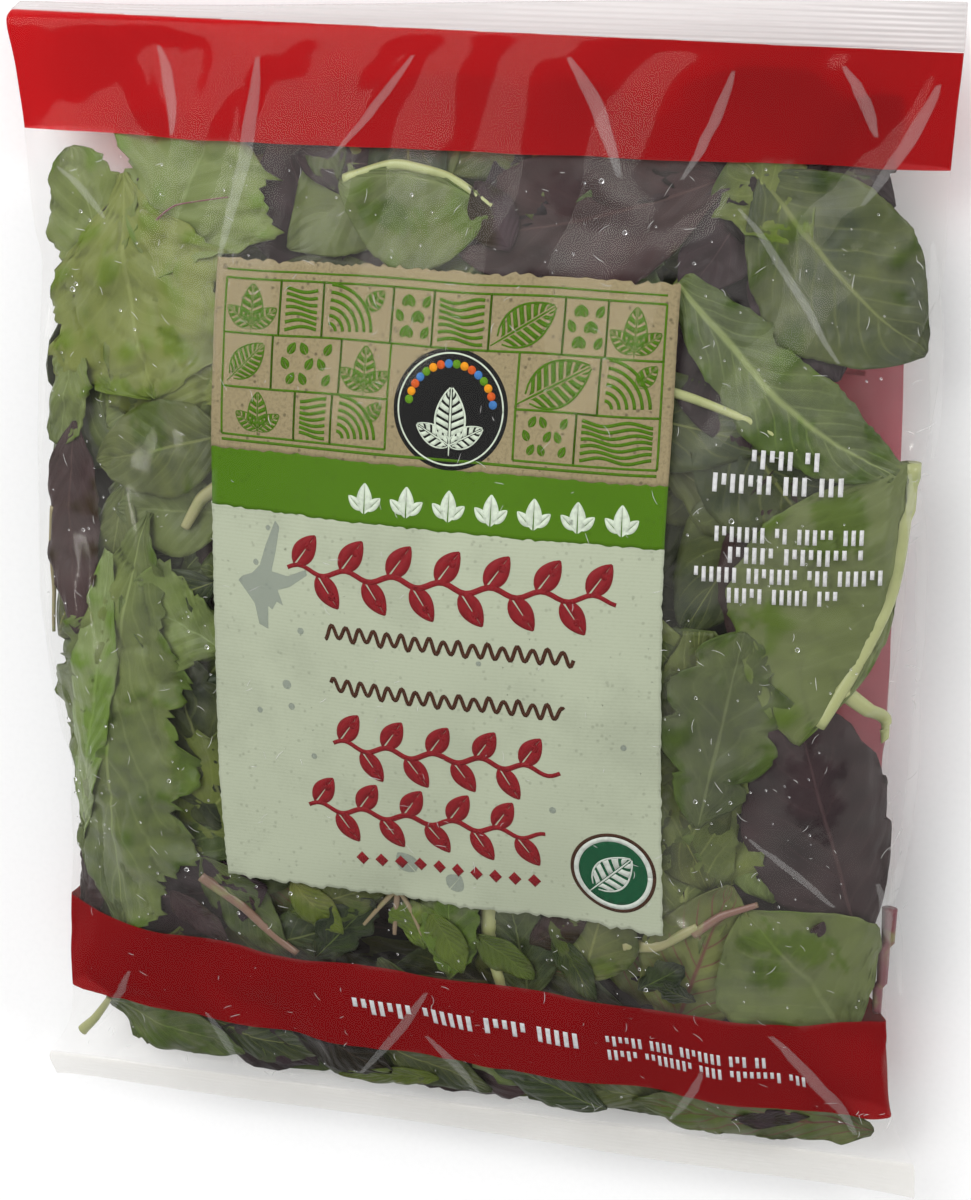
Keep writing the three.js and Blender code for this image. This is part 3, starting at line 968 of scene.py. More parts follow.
def make_stems():
    """Each stem is a round rod that follows the film, thinner towards one end."""
    points, faces, tints = [], [], []
    n, around = 30, 12
    for run, thick, depth, tint in STEMS:
        run = np.array(run) * MM
        t = np.linspace(0, len(run) - 1, n)
        knots = np.arange(len(run))
        centre = np.stack([np.interp(t, knots, run[:, k]) for k in range(2)], -1)
        for _ in range(6):
            centre[1:-1] = (centre[:-2] + 2 * centre[1:-1] + centre[2:]) / 4
        along = np.gradient(centre, axis=0)
        along /= np.linalg.norm(along, axis=1, keepdims=True)
        aside = np.stack([along[:, 1], -along[:, 0]], -1)
        radius = thick * MM / 2 * (1.05 - 0.45 * t / t[-1])
        x, y = room().hold(centre[:, 0], centre[:, 1], 4 * MM)
        top, _ = room().lay(x, y, np.full(len(x), depth * MM), 0 * x)
        middle = np.maximum(top - radius, room().at("back", x, y) + radius * 0.8)
        start = len(points)
        for k in range(around):
            turn = 2 * math.pi * k / around
            side, rise = math.cos(turn), math.sin(turn)
            ring = np.stack([x + aside[:, 0] * radius * side, y + aside[:, 1] * radius * side,
                             middle + radius * rise * 0.85], -1)
            points.extend(ring)
        for k in range(around):
            other = (k + 1) % around
            for i in range(n - 1):
                faces.append([start + k * n + i, start + k * n + i + 1,
                              start + other * n + i + 1, start + other * n + i])
        faces.append([start + k * n for k in range(around)])
        faces.append([start + k * n + n - 1 for k in reversed(range(around))])
        tints.extend([tint] * (n * around))
    piece = new_piece("stems", points, faces)
    give_values(piece, "tint", tints)
    in_edit_mode(piece, lambda: bpy.ops.mesh.normals_make_consistent(inside=False))
    return finish(piece, stem_finish())


# Print. The film has slipped a little as it was filled, so the printed rows lean more the
# further down they are.

def on_bag(x, y):
    """A point of the flat print, from the middle of the bag, where the filled film carries it."""
    down = (LABEL_TOP - y) / (LABEL_TOP - LABEL_BOTTOM)
    lean = -0.010 - 0.031 * down
    return 0.1 * MM + 3.0 * MM * down + x * (1 - 0.023 * down), y + x * lean


def drape(piece, depth, side=1, placed=False):
    """Lays a flat printed shape under the front film (side 1) or over the back film (-1)."""
    co = places(piece)
    x, y = (co[:, 0], co[:, 1]) if placed else on_bag(co[:, 0], co[:, 1])
    z = np.array([room().height(a, b, side) for a, b in zip(x, y)])
    set_places(piece, np.stack([x, y, z - side * depth], -1))
    return piece


def ragged(t, seed, size):
    """The uneven line of a torn edge."""
    return size * (0.6 * smooth_noise(t, 0 * t, seed, 4, 4.2 * MM)
                   + 0.55 * smooth_noise(t, 0 * t, seed + 1, 4, 1.5 * MM))


def torn_field(name, half, top, bottom, material, depth, torn, seed):
    """A printed field on a fine grid. torn is the raggedness of its top, bottom, left and right."""
    left, right = -half, half
    columns, rows = int((right - left) / (0.9 * MM)), int((top - bottom) / (0.9 * MM))
    s = np.linspace(0, 1, columns + 1)[None, :] * np.ones((rows + 1, 1))
    t = np.linspace(0, 1, rows + 1)[:, None] * np.ones((1, columns + 1))
    x, y = left + (right - left) * s, bottom + (top - bottom) * t
    y = y + ragged(x, seed, torn[0] * MM) * t ** 8 + ragged(x, seed + 3, torn[1] * MM) * (1 - t) ** 8
    x = x + ragged(y, seed + 6, torn[2] * MM) * (1 - s) ** 8 + ragged(y, seed + 9, torn[3] * MM) * s ** 8
    piece = new_piece(name, np.stack([x, y, 0 * x], -1).reshape(-1, 3), grid_faces(rows, columns))
    wall(drape(piece, depth), FIELD_WALL)
    return finish(piece, material)


def leaf_swell(u, width):
    """Half the width of a printed leaf, at the share u of its length."""
    return width * 0.5 * math.sin(math.pi * min(1.0, max(0.0, u)) ** 0.85) ** 0.8


def carried(base, angle, size):
    """Takes a point of a leaf of length 1, which grows along X, to where the leaf is printed."""
    c, s = size * math.cos(angle), size * math.sin(angle)
    return lambda u, v: (base[0] + c * u - s * v, base[1] + s * u + c * v)


class Stencil:
    """Flat shapes of one ink, gathered and then draped as one piece. Sizes are in mm."""

    def __init__(self, name):
        self.name, self.mesh = name, bmesh.new()

    def shape(self, outline):
        corners = [self.mesh.verts.new((x * MM, y * MM, 0)) for x, y in outline]
        return self.mesh.faces.new(corners)

    def strip(self, left, right):
        """A band between two lines of points."""
        a = [self.mesh.verts.new((x * MM, y * MM, 0)) for x, y in left]
        b = [self.mesh.verts.new((x * MM, y * MM, 0)) for x, y in right]
        for i in range(len(a) - 1):
            self.mesh.faces.new((a[i], a[i + 1], b[i + 1], b[i]))

    def stroke(self, points, width, taper=0.0):
        """A pen stroke along points. taper is how much thinner its ends are."""
        points = np.array(points, float)
        along = np.gradient(points, axis=0)
        along /= np.maximum(np.linalg.norm(along, axis=1, keepdims=True), 1e-9)
        aside = np.stack([-along[:, 1], along[:, 0]], -1)
        t = np.linspace(-1, 1, len(points))[:, None]
        half = width / 2 * (1 - taper * t ** 2)
        self.strip(points - aside * half, points + aside * half)

    def ring(self, centre, outer, inner):
        turn = np.linspace(0, 2 * math.pi, 65)
        circle = np.stack([np.cos(turn), np.sin(turn)], -1)
        self.strip(np.array(centre) + circle * inner, np.array(centre) + circle * outer)

    def disc(self, centre, radius, count):
        turn = np.linspace(0, 2 * math.pi, count + 1)[:-1]
        self.shape([(centre[0] + radius * math.cos(a), centre[1] + radius * math.sin(a)) for a in turn])

    def leaf(self, base, angle, size, width, bars):
        """A leaf as a woodcut shows it: bars between its veins, on both sides of its rib."""
        put = carried(base, angle, size)
        for side in (-1, 1):
            for k in range(bars):
                low, high = 0.06 + 0.9 * k / bars, 0.06 + 0.9 * (k + 0.66) / bars
                lines = [], []
                for share in (0, 1 / 3, 2 / 3, 1):
                    for line, start in zip(lines, (low, high)):
                        u = start + 0.10 * share
                        line.append(put(u, side * (0.03 + (leaf_swell(u, width) - 0.03) * share)))
                self.strip(*lines)
        self.stroke([put(u, 0) for u in np.linspace(-0.14, 1.0, 9)], size * 0.035, 0.5)
        for side in (-1, 1):
            rim = [put(u, side * (leaf_swell(u, width) + 0.02)) for u in np.linspace(0.02, 1.0, 13)]
            self.stroke(rim, size * 0.035, 0.3)

    def solid_leaf(self, base, angle, size, width):
        """A leaf as two filled halves, with its rib left open."""
        put = carried(base, angle, size)
        for side in (-1, 1):
            shares = np.linspace(0.0, 1.0, 11)
            rim = [put(u, side * (0.025 + leaf_swell(u, width))) for u in shares]
            self.strip([put(u, side * 0.025 * (1 - u)) for u in shares], rim)

    def finish(self, material, depth=ORNAMENT_DEPTH, slot="label_print", side=1, placed=False):
        """Cuts the shapes fine enough to follow the film, and lays them under it."""
        longest = 1.5 * MM
        bmesh.ops.triangulate(self.mesh, faces=self.mesh.faces[:])
        for _ in range(6):
            far = [e for e in self.mesh.edges if e.calc_length() > longest]
            if not far:
                break
            bmesh.ops.subdivide_edges(self.mesh, edges=far, cuts=1)
            bmesh.ops.triangulate(self.mesh, faces=[f for f in self.mesh.faces if len(f.verts) > 3])
        bmesh.ops.recalc_face_normals(self.mesh, faces=self.mesh.faces[:])
        for face in self.mesh.faces:
            face.normal_update()
            if face.normal.z * side < 0:
                face.normal_flip()
        piece = new_piece(self.name, (), ())
        self.mesh.to_mesh(piece.data)
        self.mesh.free()
        wall(drape(piece, depth, side, placed), INK_WALL)
        return finish(piece, material)


def band(name, cuts, material):
    """A red band round the whole bag: the part of the film between two slanted cuts, drawn in
    so that it lies just under the film."""
    piece = copy_of(bpy.data.objects["film"], name)
    for (height, lean), keep_below in zip(cuts, (True, False)):
        in_edit_mode(piece, lambda: bpy.ops.mesh.bisect(
            plane_co=(0, height, 0), plane_no=(-lean, 1, 0),
            clear_outer=keep_below, clear_inner=not keep_below))
    set_places(piece, places(piece) - normals_of(piece) * PRINT_DEPTH)
    return finish(piece, material)


def make_bands():
    ink = bpy.context.scene.salad_print.red
    # The upper band's ink darkens to 0.66 at the right of the bag: painted shade.
    thin = ink_finish("red_band_ink", ink, 0.62, (0.96, 0.09, 0.10), painted_shade_right=0.66)
    dense = ink_finish("red_band_ink_dense", dimmed(ink, 0.46), 0.88, (0.8, 0.08, 0.08))
    band("red_band_top", UPPER_BAND, thin)
    band("red_band_bottom", LOWER_BAND, dense)


# The outline of a torn leaf that shows through the label's left side, in mm.
LEAF_SHADOW = ((-36.3, 21.8), (-35.2, 20.5), (-36.0, 15.0), (-37.0, 10.5), (-33.0, 10.0), (-28.5, 12.0),
               (-28.2, 10.8), (-32.5, 7.6), (-35.5, 6.5), (-34.2, 3.2), (-35.8, 3.8), (-37.0, 1.8),
               (-38.0, 2.5), (-38.2, -2.8), (-40.5, -2.0), (-41.5, 2.5), (-45.6, 7.2), (-44.5, 8.4),
               (-42.0, 9.4), (-40.0, 11.5), (-38.6, 16.0))


def make_label():
    s = bpy.context.scene.salad_print
    half, top, bottom = s.label_width / 2, s.label_top, s.label_bottom
    kraft_bottom, green_bottom = 36.6 * MM, 23.6 * MM
    kraft = paper_finish("brown_paper_print", s.kraft, 0.75, 0.8)
    green = paper_finish("green_strip_print", s.leaf_green, 0.25, 0.3)
    pale = paper_finish("pale_field_print", s.pale, 0.14, 0.3, ribs=0.09)
    overlap, step = 0.6 * MM, 0.012 * MM
    torn_field("label_pale", half, green_bottom + overlap, bottom, pale, PRINT_DEPTH,
               (0.0, 1.0, 0.3, 0.3), 11)
    torn_field("label_green", half, kraft_bottom + overlap, green_bottom, green, PRINT_DEPTH - step,
               (0.0, 0.45, 0.1, 0.1), 23)
    torn_field("label_kraft", half, top, kraft_bottom, kraft, PRINT_DEPTH - 2 * step,
               (0.9, 0.5, 0.1, 0.1), 37)
    shadow = Stencil("leaf_shadows")
    shadow.shape(LEAF_SHADOW)
    for x, y, turn, size, wide in ((-6, -57, 2.2, 6.0, 0.8), (2, -60, 0.9, 5.0, 0.9)):
        shadow.solid_leaf((x, y), turn, size, wide)
    for x, y, size in ((-34, -15, 1.1), (-30, -2, 0.8), (-33, -20, 0.8), (-41, -22, 0.7), (-28, -31, 0.7),
                       (28, -36, 0.8), (44, -20, 0.7), (-38, 20, 0.6), (-41, 12, 0.7), (12, -4, 0.6)):
        shadow.disc((x, y), size, 14)
    shade = ink_finish("leaf_shadow", (0.18, 0.22, 0.24), 0.17, (1, 1, 1), 0.6)
    shadow.finish(shade, depth=0.10 * MM)


BADGE = (3.6, 49.2, 12.8)  # the dark round badge of the label: its middle and its radius, in mm
SEAL = (41.0, -50.0, 9.8)  # the round green seal


def woodcut(stencil, kind, x, y, wide, high):
    """One small printed block of the brown field, with its middle at x and y."""
    left, bottom = x - wide / 2, y - high / 2
    pen = 0.72
    if kind == 0:
        for turn, size in ((math.pi / 2, 0.86), (0.62, 0.66), (math.pi - 0.62, 0.66)):
            stencil.leaf((x, bottom + 1.0), turn, size * high, 0.5, 5)
    elif kind == 1:
        xs = np.linspace(left + 0.8, left + wide - 0.8, 30)
        for k in range(7):
            ys = bottom + high * (0.10 + 0.13 * k) + 0.05 * high * np.sin(xs * 0.55 + 0.5 * k)
            stencil.stroke(np.stack([xs, ys], -1), pen)
    elif kind == 2:
        over, up = wide - 3, high - 3
        stencil.leaf((left + 1.6, bottom + 1.6), math.atan2(up, over), 0.98 * math.hypot(over, up), 0.55, 8)
    elif kind == 3:
        turn = np.linspace(0.04, math.pi / 2 - 0.04, 16)
        for k in range(6):
            reach = (0.16 + 0.155 * k) * min(wide, high)
            arc = np.stack([left + 0.9 + reach * np.cos(turn), bottom + 0.9 + reach * np.sin(turn)], -1)
            stencil.stroke(arc, pen)
        stencil.leaf((x + 0.12 * wide, y + 0.05 * high), 0.8, 0.55 * high, 0.6, 4)
    else:
        for j in range(3):
            for i in range(3):
                base = (left + wide * (0.22 + 0.28 * i), bottom + high * (0.09 + 0.30 * j))
                lean = 0.5 if (i + j) % 2 else -0.5
                stencil.solid_leaf(base, math.pi / 2 + lean, 0.27 * high, 0.6)


def woodcut_rows(stencil, left, right):
    """Blocks of unlike width in three rows, which leave room for the badge."""
    around = (left, BADGE[0] - BADGE[2] - 1.6, BADGE[0] + BADGE[2] + 1.6, right)
    rows = ((39.7, 50.2, around[:2], (4, 2, 3)), (39.7, 50.2, around[2:], (3, 4)),
            (50.2, 61.8, around[:2], (3, 4, 3)), (50.2, 61.8, around[2:], (4, 3)),
            (61.8, 73.4, (left, right), (4, 3, 5, 3, 4, 5, 3, 4)))
    kind = 0
    for bottom, top, (start, end), shares in rows:
        x = start
        for share in shares:
            wide = (end - start) * share / sum(shares)
            middle = (x + wide / 2, (bottom + top) / 2)
            woodcut(stencil, kind % 5, *middle, wide - 1.0, top - bottom - 1.0)
            corners = [(x, bottom), (x + wide, bottom), (x + wide, top), (x, top), (x, bottom)]
            for a, b in zip(corners, corners[1:]):
                stencil.stroke(np.linspace(a, b, 9), 0.5)
            x += wide
            kind += 2 if kind % 3 else 1


def garland(stencil, x0, x1, y, size, step):
    """A stem with filled leaves on both sides of it, as heavy as a line of large print."""
    xs = np.linspace(x0, x1, 60)
    stencil.stroke(np.stack([xs, y + 0.9 * np.sin((xs - x0) / step * math.pi)], -1), 1.3, 0.3)
    x, side = x0 + step * 0.3, 1
    while x < x1 - size * 0.5:
        height = y + 0.9 * math.sin((x - x0) / step * math.pi)
        stencil.solid_leaf((x, height), side * 0.95, size, 0.56)
        stencil.disc((x + step * 0.62, height + side * size * 0.52), 0.95, 16)
        x += step
        side = -side


def dashes(stencil, y, x0, x1, height, seed):
    """A line of upright ticks in uneven groups, as heavy as a line of small print."""
    draw = np.random.default_rng(seed)
    x, left = x0, int(draw.integers(3, 8))
    while x < x1:
        low = -0.5 if draw.random() < 0.72 else -0.1
        stencil.stroke([(x, y + height * t) for t in np.linspace(low, 0.5, 4)], 0.26 * height)
        x += 0.5 * height
        left -= 1
        if left == 0:
            x += 0.45 * height
            left = int(draw.integers(2, 9))


def lozenge(stencil, x, y, wide, high):
    stencil.shape([(x - wide, y), (x, y - high), (x + wide, y), (x, y + high)])


def print_kraft(s):
    left, right = -s.label_width / 2 / MM + 2.6, s.label_width / 2 / MM - 2.6
    art = Stencil("label_woodcuts")
    woodcut_rows(art, left, right)
    for y, width in ((75.2, 0.45), (38.5, 0.6)):
        art.stroke([(x, y) for x in np.linspace(left, right, 90)], width)
    art.finish(plain_finish("green_ornament", dimmed(s.leaf_green, 0.95)))


def print_strip(pale_ink):
    sprigs = Stencil("strip_leaves")
    x = -15.0
    while x < 44:
        sprigs.solid_leaf((x, 25.6), math.pi / 2, 6.6, 0.5)
        sprigs.solid_leaf((x + 0.6, 26.4), 0.75, 4.2, 0.5)
        sprigs.solid_leaf((x - 0.6, 26.4), math.pi - 0.75, 4.2, 0.5)
        x += 9.6
    sprigs.finish(pale_ink)


def print_badge(pale_ink):
    dark = Stencil("badge_dark")
    dark.disc(BADGE[:2], BADGE[2], 72)
    dark.finish(plain_finish("badge_ink", (0.008, 0.008, 0.008), 0.4), depth=0.115 * MM)
    badge = Stencil("badge_sprig")
    badge.ring(BADGE[:2], BADGE[2] - 0.9, BADGE[2] - 1.25)
    badge.leaf((BADGE[0], BADGE[1] - 8.0), math.pi / 2, 12.5, 0.5, 7)
    for turn in (0.5, math.pi - 0.5):
        badge.leaf((BADGE[0], BADGE[1] - 7.6), turn, 8.4, 0.46, 5)
    badge.finish(pale_ink, MARK_DEPTH)
    shades = (("green", (0.10, 0.24, 0.01)), ("amber", (0.70, 0.27, 0.01)),
              ("orange", (0.55, 0.09, 0.015)), ("blue", (0.05, 0.17, 0.42)))
    for n, (name, shade) in enumerate(shades):
        dots = Stencil("badge_dots_" + name)
        for k in range(n, 16, 4):
            turn = 0.16 + k * (math.pi - 0.32) / 15
            reach = BADGE[2] - 3.3
            dots.disc((BADGE[0] - reach * math.cos(turn), BADGE[1] + reach * math.sin(turn)), 0.92, 16)
        dots.finish(plain_finish("badge_" + name, shade), MARK_DEPTH)


def print_pale_field(s):
    red = Stencil("red_garlands")
    garland(red, -33, 42, 12.0, 8.6, 5.6)
    garland(red, -23, 30, -27.0, 8.2, 5.3)
    garland(red, -30, 26, -43.0, 8.2, 5.3)
    for k in range(10):
        lozenge(red, -18 + k * 4.5, -54.6, 1.5, 1.7)
    red.finish(plain_finish("dark_red_ornament", s.dark_red))
    waves = Stencil("brown_waves")
    for y, x0, x1 in ((-1.2, -24, 33), (-13.4, -23, 31)):
        xs = np.linspace(x0, x1, 220)
        waves.stroke(np.stack([xs, y + (1.5 + 0.3 * np.sin(xs)) * np.sin(xs * 1.9)], -1), 0.85)
    waves.finish(plain_finish("brown_ornament", s.brown))


def print_seal():
    rim = Stencil("seal_rim")
    rim.ring(SEAL[:2], SEAL[2], SEAL[2] - 0.8)
    rim.finish(plain_finish("seal_rim_ink", (0.05, 0.022, 0.012)))
    paper = Stencil("seal_ring")
    paper.ring(SEAL[:2], SEAL[2] - 0.8, SEAL[2] - 1.9)
    paper.leaf((SEAL[0] - 4.5, SEAL[1] - 4.2), 0.75, 12.0, 0.6, 5)
    paper.finish(plain_finish("seal_paper", (0.52, 0.56, 0.50)), MARK_DEPTH)
    disc = Stencil("seal_green")
    disc.disc(SEAL[:2], SEAL[2] - 1.9, 64)
    disc.finish(plain_finish("seal_green_ink", (0.008, 0.072, 0.030)), depth=0.11 * MM)


def make_ornaments():
    """The generic ornament of the label: woodcut blocks, sprigs, garlands, a badge and a seal."""
    s = bpy.context.scene.salad_print
    pale_ink = plain_finish("pale_ornament", (0.55, 0.62, 0.50))
    print_kraft(s)
    print_strip(pale_ink)
    print_badge(pale_ink)
    print_pale_field(s)
    print_seal()


def rounded_frame(stencil, x, y, wide, high, width):
    turn = np.linspace(0, 2 * math.pi, 81)
    squareness = 0.28
    px = x + wide / 2 * np.sign(np.cos(turn)) * np.abs(np.cos(turn)) ** squareness
    py = y + high / 2 * np.sign(np.sin(turn)) * np.abs(np.sin(turn)) ** squareness
    inner = np.stack([x + (px - x) * (1 - width / wide * 2), y + (py - y) * (1 - width / high * 2)], -1)
    stencil.strip(inner, np.stack([px, py], -1))


# Rows of white dashes: the height of each row, where it starts and stops, and its size, in mm.
WHITE_ROWS = (
    ("white_marks", ((43.4, 70, 84, 3.8), (38.3, 62, 90, 3.8), (27.9, 63, 94, 3.2), (23.6, 66, 93, 3.4),
                     (19.3, 59, 98, 3.2), (15.0, 66, 89, 3.2))),
    ("band_marks", ((-97.4, -26, 29, 4.4), (-96.4, 36, 74, 3.0), (-100.6, 36, 82, 3.0))),
)


def make_white_marks():
    """White dashes beside the label and on the lower red band."""
    white = plain_finish("white_ink", (0.60, 0.60, 0.60))
    seed = 1
    for name, rows in WHITE_ROWS:
        marks = Stencil(name)
        for row in rows:
            dashes(marks, *row, seed)
            seed += 1
        marks.finish(white)


def back_sheet(name, left, right, bottom, top, depth, material):
    """A thin sheet on the inside of the back film, on a grid of about a millimetre."""
    columns, rows = int((right - left) / MM), int((top - bottom) / MM)
    x, y = np.meshgrid(np.linspace(left, right, columns + 1), np.linspace(bottom, top, rows + 1))
    piece = new_piece(name, np.stack([x, y, 0 * x], -1).reshape(-1, 3), grid_faces(rows, columns))
    drape(piece, depth, -1, placed=True)
    in_edit_mode(piece, bpy.ops.mesh.flip_normals)
    return finish(piece, material)


def make_back_print():
    """The plain red panel on the back film with pale lines, and the lap seam beside it."""
    pink = ink_finish("back_panel_ink", (0.42, 0.03, 0.06), 0.46, (0.9, 0.35, 0.4))
    back_sheet("back_panel", -28 * MM, 97 * MM, -30 * MM, 62 * MM, PRINT_DEPTH, pink)
    back_sheet("back_panel_edge", 92 * MM, 97 * MM, -62 * MM, -30 * MM, PRINT_DEPTH, pink)
    lines = Stencil("back_lines")
    for k in range(9):
        y = 55 - k * 9.4
        lines.stroke([(x, y) for x in np.linspace(-20, 88 - 7 * (k % 3), 90)], 1.1)
    rounded_frame(lines, -62, 15, 44, 82, 0.5)
    for k in range(8):
        lines.stroke([(x, 46 - k * 9) for x in np.linspace(-80, -44, 30)], 0.6)
    lines.finish(plain_finish("back_line_ink", (0.70, 0.66, 0.65)), side=-1, placed=True)
    back_sheet("back_seam", -41 * MM, -30 * MM, BOTTOM_LINE + 2 * MM, TOP_LINE - 2 * MM, 0.25 * MM,
               seam_finish())


def seam_finish():
    f = Finish("lap_seam_film")
    normal = f.bump(f.lines(1.6 * MM), 0.5, 0.1 * MM)
    film = f.surface(Base_Color=(0.85, 0.86, 0.85), Roughness=0.2, Normal=normal)
    cover = f.math("MULTIPLY_ADD", f.noise(90), 0.1, 0.1)
    return f.done(f.see_through(cover, (1, 1, 1), film))


# Damp, painted sheen, scuffs, painted glints and drops

def above(cut, x, y):
    """True above one slanted cut of a red band."""
    height, lean = cut
    return y > height + lean * x


def on_print(x, y):
    """True under the label and the two red bands, where the ink hides the damp."""
    s = bpy.context.scene.salad_print
    slanted = y - x * 0.02
    label = (np.abs(x - 1.6 * MM) < s.label_width / 2) & (slanted < s.label_top) & (slanted > s.label_bottom)
    lower = above(LOWER_BAND[1], x, y) & ~above(LOWER_BAND[0], x, y)
    return label | lower | above(UPPER_BAND[1], x, y)


def dampen_film():
    """The damp on the inside of the film is thick where no leaf touches it and thinner under the lower
    band. The rolled sides are whitened more: painted sheen for the film's glancing reflection."""
    film = bpy.data.objects["film"]
    depsgraph = bpy.context.evaluated_depsgraph_get()
    trees = [BVHTree.FromObject(bpy.data.objects[name], depsgraph) for _, name, *_ in LEAF_PIECES]
    co, normals = places(film), normals_of(film)
    damp = np.zeros(len(co))
    for i, (p, n) in enumerate(zip(co, normals)):
        start, inward = Vector(p), Vector(-n)
        near = 6 * MM
        for tree in trees:
            hit = tree.ray_cast(start, inward, near)
            if hit[0] is not None:
                near = min(near, hit[3])
        damp[i] = min(1.0, max(0.0, (near - LEAF_GAP - 0.05 * MM) / (0.5 * MM)))
    x, y = co[:, 0], co[:, 1]
    clouds = 0.036 + 0.020 * smooth_noise(x, y, 5, 6, 24 * MM) + 0.012 * smooth_noise(x, y, 6, 6, 7 * MM)
    below_band = np.clip((-103 * MM - y) / (4 * MM), 0, 1)
    clouds = clouds * (1 - 0.8 * wetness(x, y)) * (1 - 0.5 * below_band)
    # Painted sheen: the steep rolled sides are whitened as if the film reflected more at a glancing view.
    glancing_sheen = np.clip(1 - np.abs(normals[:, 2]) / 0.55, 0, 1)
    glancing_sheen *= np.clip((np.abs(x) - 90 * MM) / (6 * MM), 0, 1)
    printed = on_print(x, y) & (normals[:, 2] > 0)
    give_values(film, "damp", np.where(printed, 0.0, 0.85 * damp * clouds) + 0.05 * glancing_sheen)


# Where the film is scuffed or crumpled: the middle and the half widths of each field, how many
# fine pale lines it has, and how long and how wide they are, in mm. The first field holds scuffs;
# the pale lines of the others, on the crumpled seals and the right edge, are painted glints.
SCUFFS_AND_GLINTS = (
    (0, -6, 92, 106, 300, (0.6, 3.2), 0.10),
    (95, -116, 7, 4, 9, (1.0, 3.0), 0.13),
    (-89, -118, 8, 4, 5, (1.0, 3.0), 0.13),
    (10, -121, 80, 2, 16, (1.0, 4.0), 0.12),
    (102, 10, 2, 84, 22, (1.0, 4.0), 0.12),
)


def make_scuffs_and_painted_glints():
    """Fine scuffs on the film, pale marks on its crumples as painted glints, and pale strips on the
    sides of its creases as painted highlights where they would catch the light.
    """
    draw = np.random.default_rng(bpy.context.scene.salad_film.seed + 3)
    marks, painted_crease_highlights = Stencil("film_scuffs"), Stencil("film_crests")
    # Painted glints: all but the first field are pale lines for the light that crumples catch.
    for x0, y0, wide, high, count, reaches, width in SCUFFS_AND_GLINTS:
        for _ in range(count):
            x, y = draw.uniform(x0 - wide, x0 + wide), draw.uniform(y0 - high, y0 + high)
            turn, bend = draw.uniform(0, 2 * math.pi), draw.uniform(-0.5, 0.5)
            reach = draw.uniform(*reaches)
            t = np.linspace(-0.5, 0.5, 5)
            run, off = reach * t, reach * bend * (t ** 2 - 0.25)
            line = np.stack([x + run * math.cos(turn) - off * math.sin(turn),
                             y + run * math.sin(turn) + off * math.cos(turn)], -1)
            marks.stroke(np.clip(line, (-106, -134), (106, 134)), width * draw.uniform(0.7, 1.3), 0.6)
    # Painted highlights: faint pale strips along the sides of the higher creases.
    for start, stop, high in CREASES:
        if high > 0.3:
            t = np.linspace(0.1, 1.0, 9)[:, None]
            line = np.array(start) * (1 - t) + np.array(stop) * t + draw.uniform(-0.2, 0.2, (9, 2))
            aside = np.array([1, 0.2]) * (8.5 * high / 0.5 * t * (1.1 - t) + 0.05)
            painted_crease_highlights.strip(line, line + aside)
    for stencil, share in ((marks, 0.42), (painted_crease_highlights, 0.055)):
        f = Finish(stencil.name)
        face = f.surface(Base_Color=(0.9, 0.9, 0.88), Roughness=0.3)
        material = f.done(f.see_through(share, (1, 1, 1), face))
        stencil.finish(material, SCUFF_AND_GLINT_DEPTH, "bag_film", placed=True)


def make_drops():
    """Small flattened drops of water on the inside of the front."""
    settings = bpy.context.scene.salad_film
    draw = np.random.default_rng(settings.seed)
    bpy.ops.mesh.primitive_ico_sphere_add(subdivisions=1, radius=1)
    drop = bpy.context.active_object
    ball = places(drop)
    cells = np.array([p.vertices[:] for p in drop.data.polygons])
    bpy.data.objects.remove(drop)
    points, faces = [], []
    for k in range(settings.drops):
        x = draw.uniform(LOW.x + 12 * MM, HIGH.x - 12 * MM)
        y = draw.uniform(BOTTOM_LINE + 8 * MM, TOP_LINE - 20 * MM)
        radius = draw.uniform(0.12, 0.34) * MM if draw.random() < 0.9 else draw.uniform(0.34, 0.75) * MM
        x, y = (float(v[0]) for v in room().hold(np.array([x]), np.array([y])))
        z = room().height(x, y) - 0.1 * MM - radius * 0.5
        faces.extend(cells + len(ball) * k)
        points.extend(ball * np.array([radius, radius, radius * 0.5]) + np.array([x, y, z]))
    piece = new_piece("water_drops", points, faces)
    return finish(piece, water_finish())


# Stage

# The studio's lamps: where each stands, its size in metres and its power in watts. The small
# ones make the glints on the film.
LAMPS = (
    ("key", (-0.85, 1.2, 1.2), 1.6, 27),
    ("glint_right", (1.0, 0.5, 0.6), 0.2, 4.4),
    ("glint_left", (-0.70, -0.02, 0.71), 0.05, 0.12),
    ("glint_below", (0.08, -0.63, 0.77), 0.05, 0.25),
)


def make_stage():
    s = bpy.context.scene.salad_stage
    bpy.ops.mesh.primitive_plane_add(size=6, location=(0, 0, -0.4 * MM))
    floor = bpy.context.active_object
    floor.name = "floor"
    floor.data.materials.append(plain_finish("floor", s.floor, 0.7, 0.004))
    world = bpy.data.worlds.new("studio")
    world.use_nodes = True
    sky = world.node_tree.nodes["Background"].inputs
    sky["Color"].default_value, sky["Strength"].default_value = (1, 1, 1, 1), 0.66
    bpy.context.scene.world = world
    for name, place, size, power in LAMPS:
        bpy.ops.object.light_add(type="AREA", location=place)
        light = bpy.context.active_object
        light.name = name
        light.data.size, light.data.energy = size, power
        light.rotation_euler = (-Vector(place)).to_track_quat("-Z", "Y").to_euler()
    bpy.context.scene.view_settings.view_transform = "Standard"


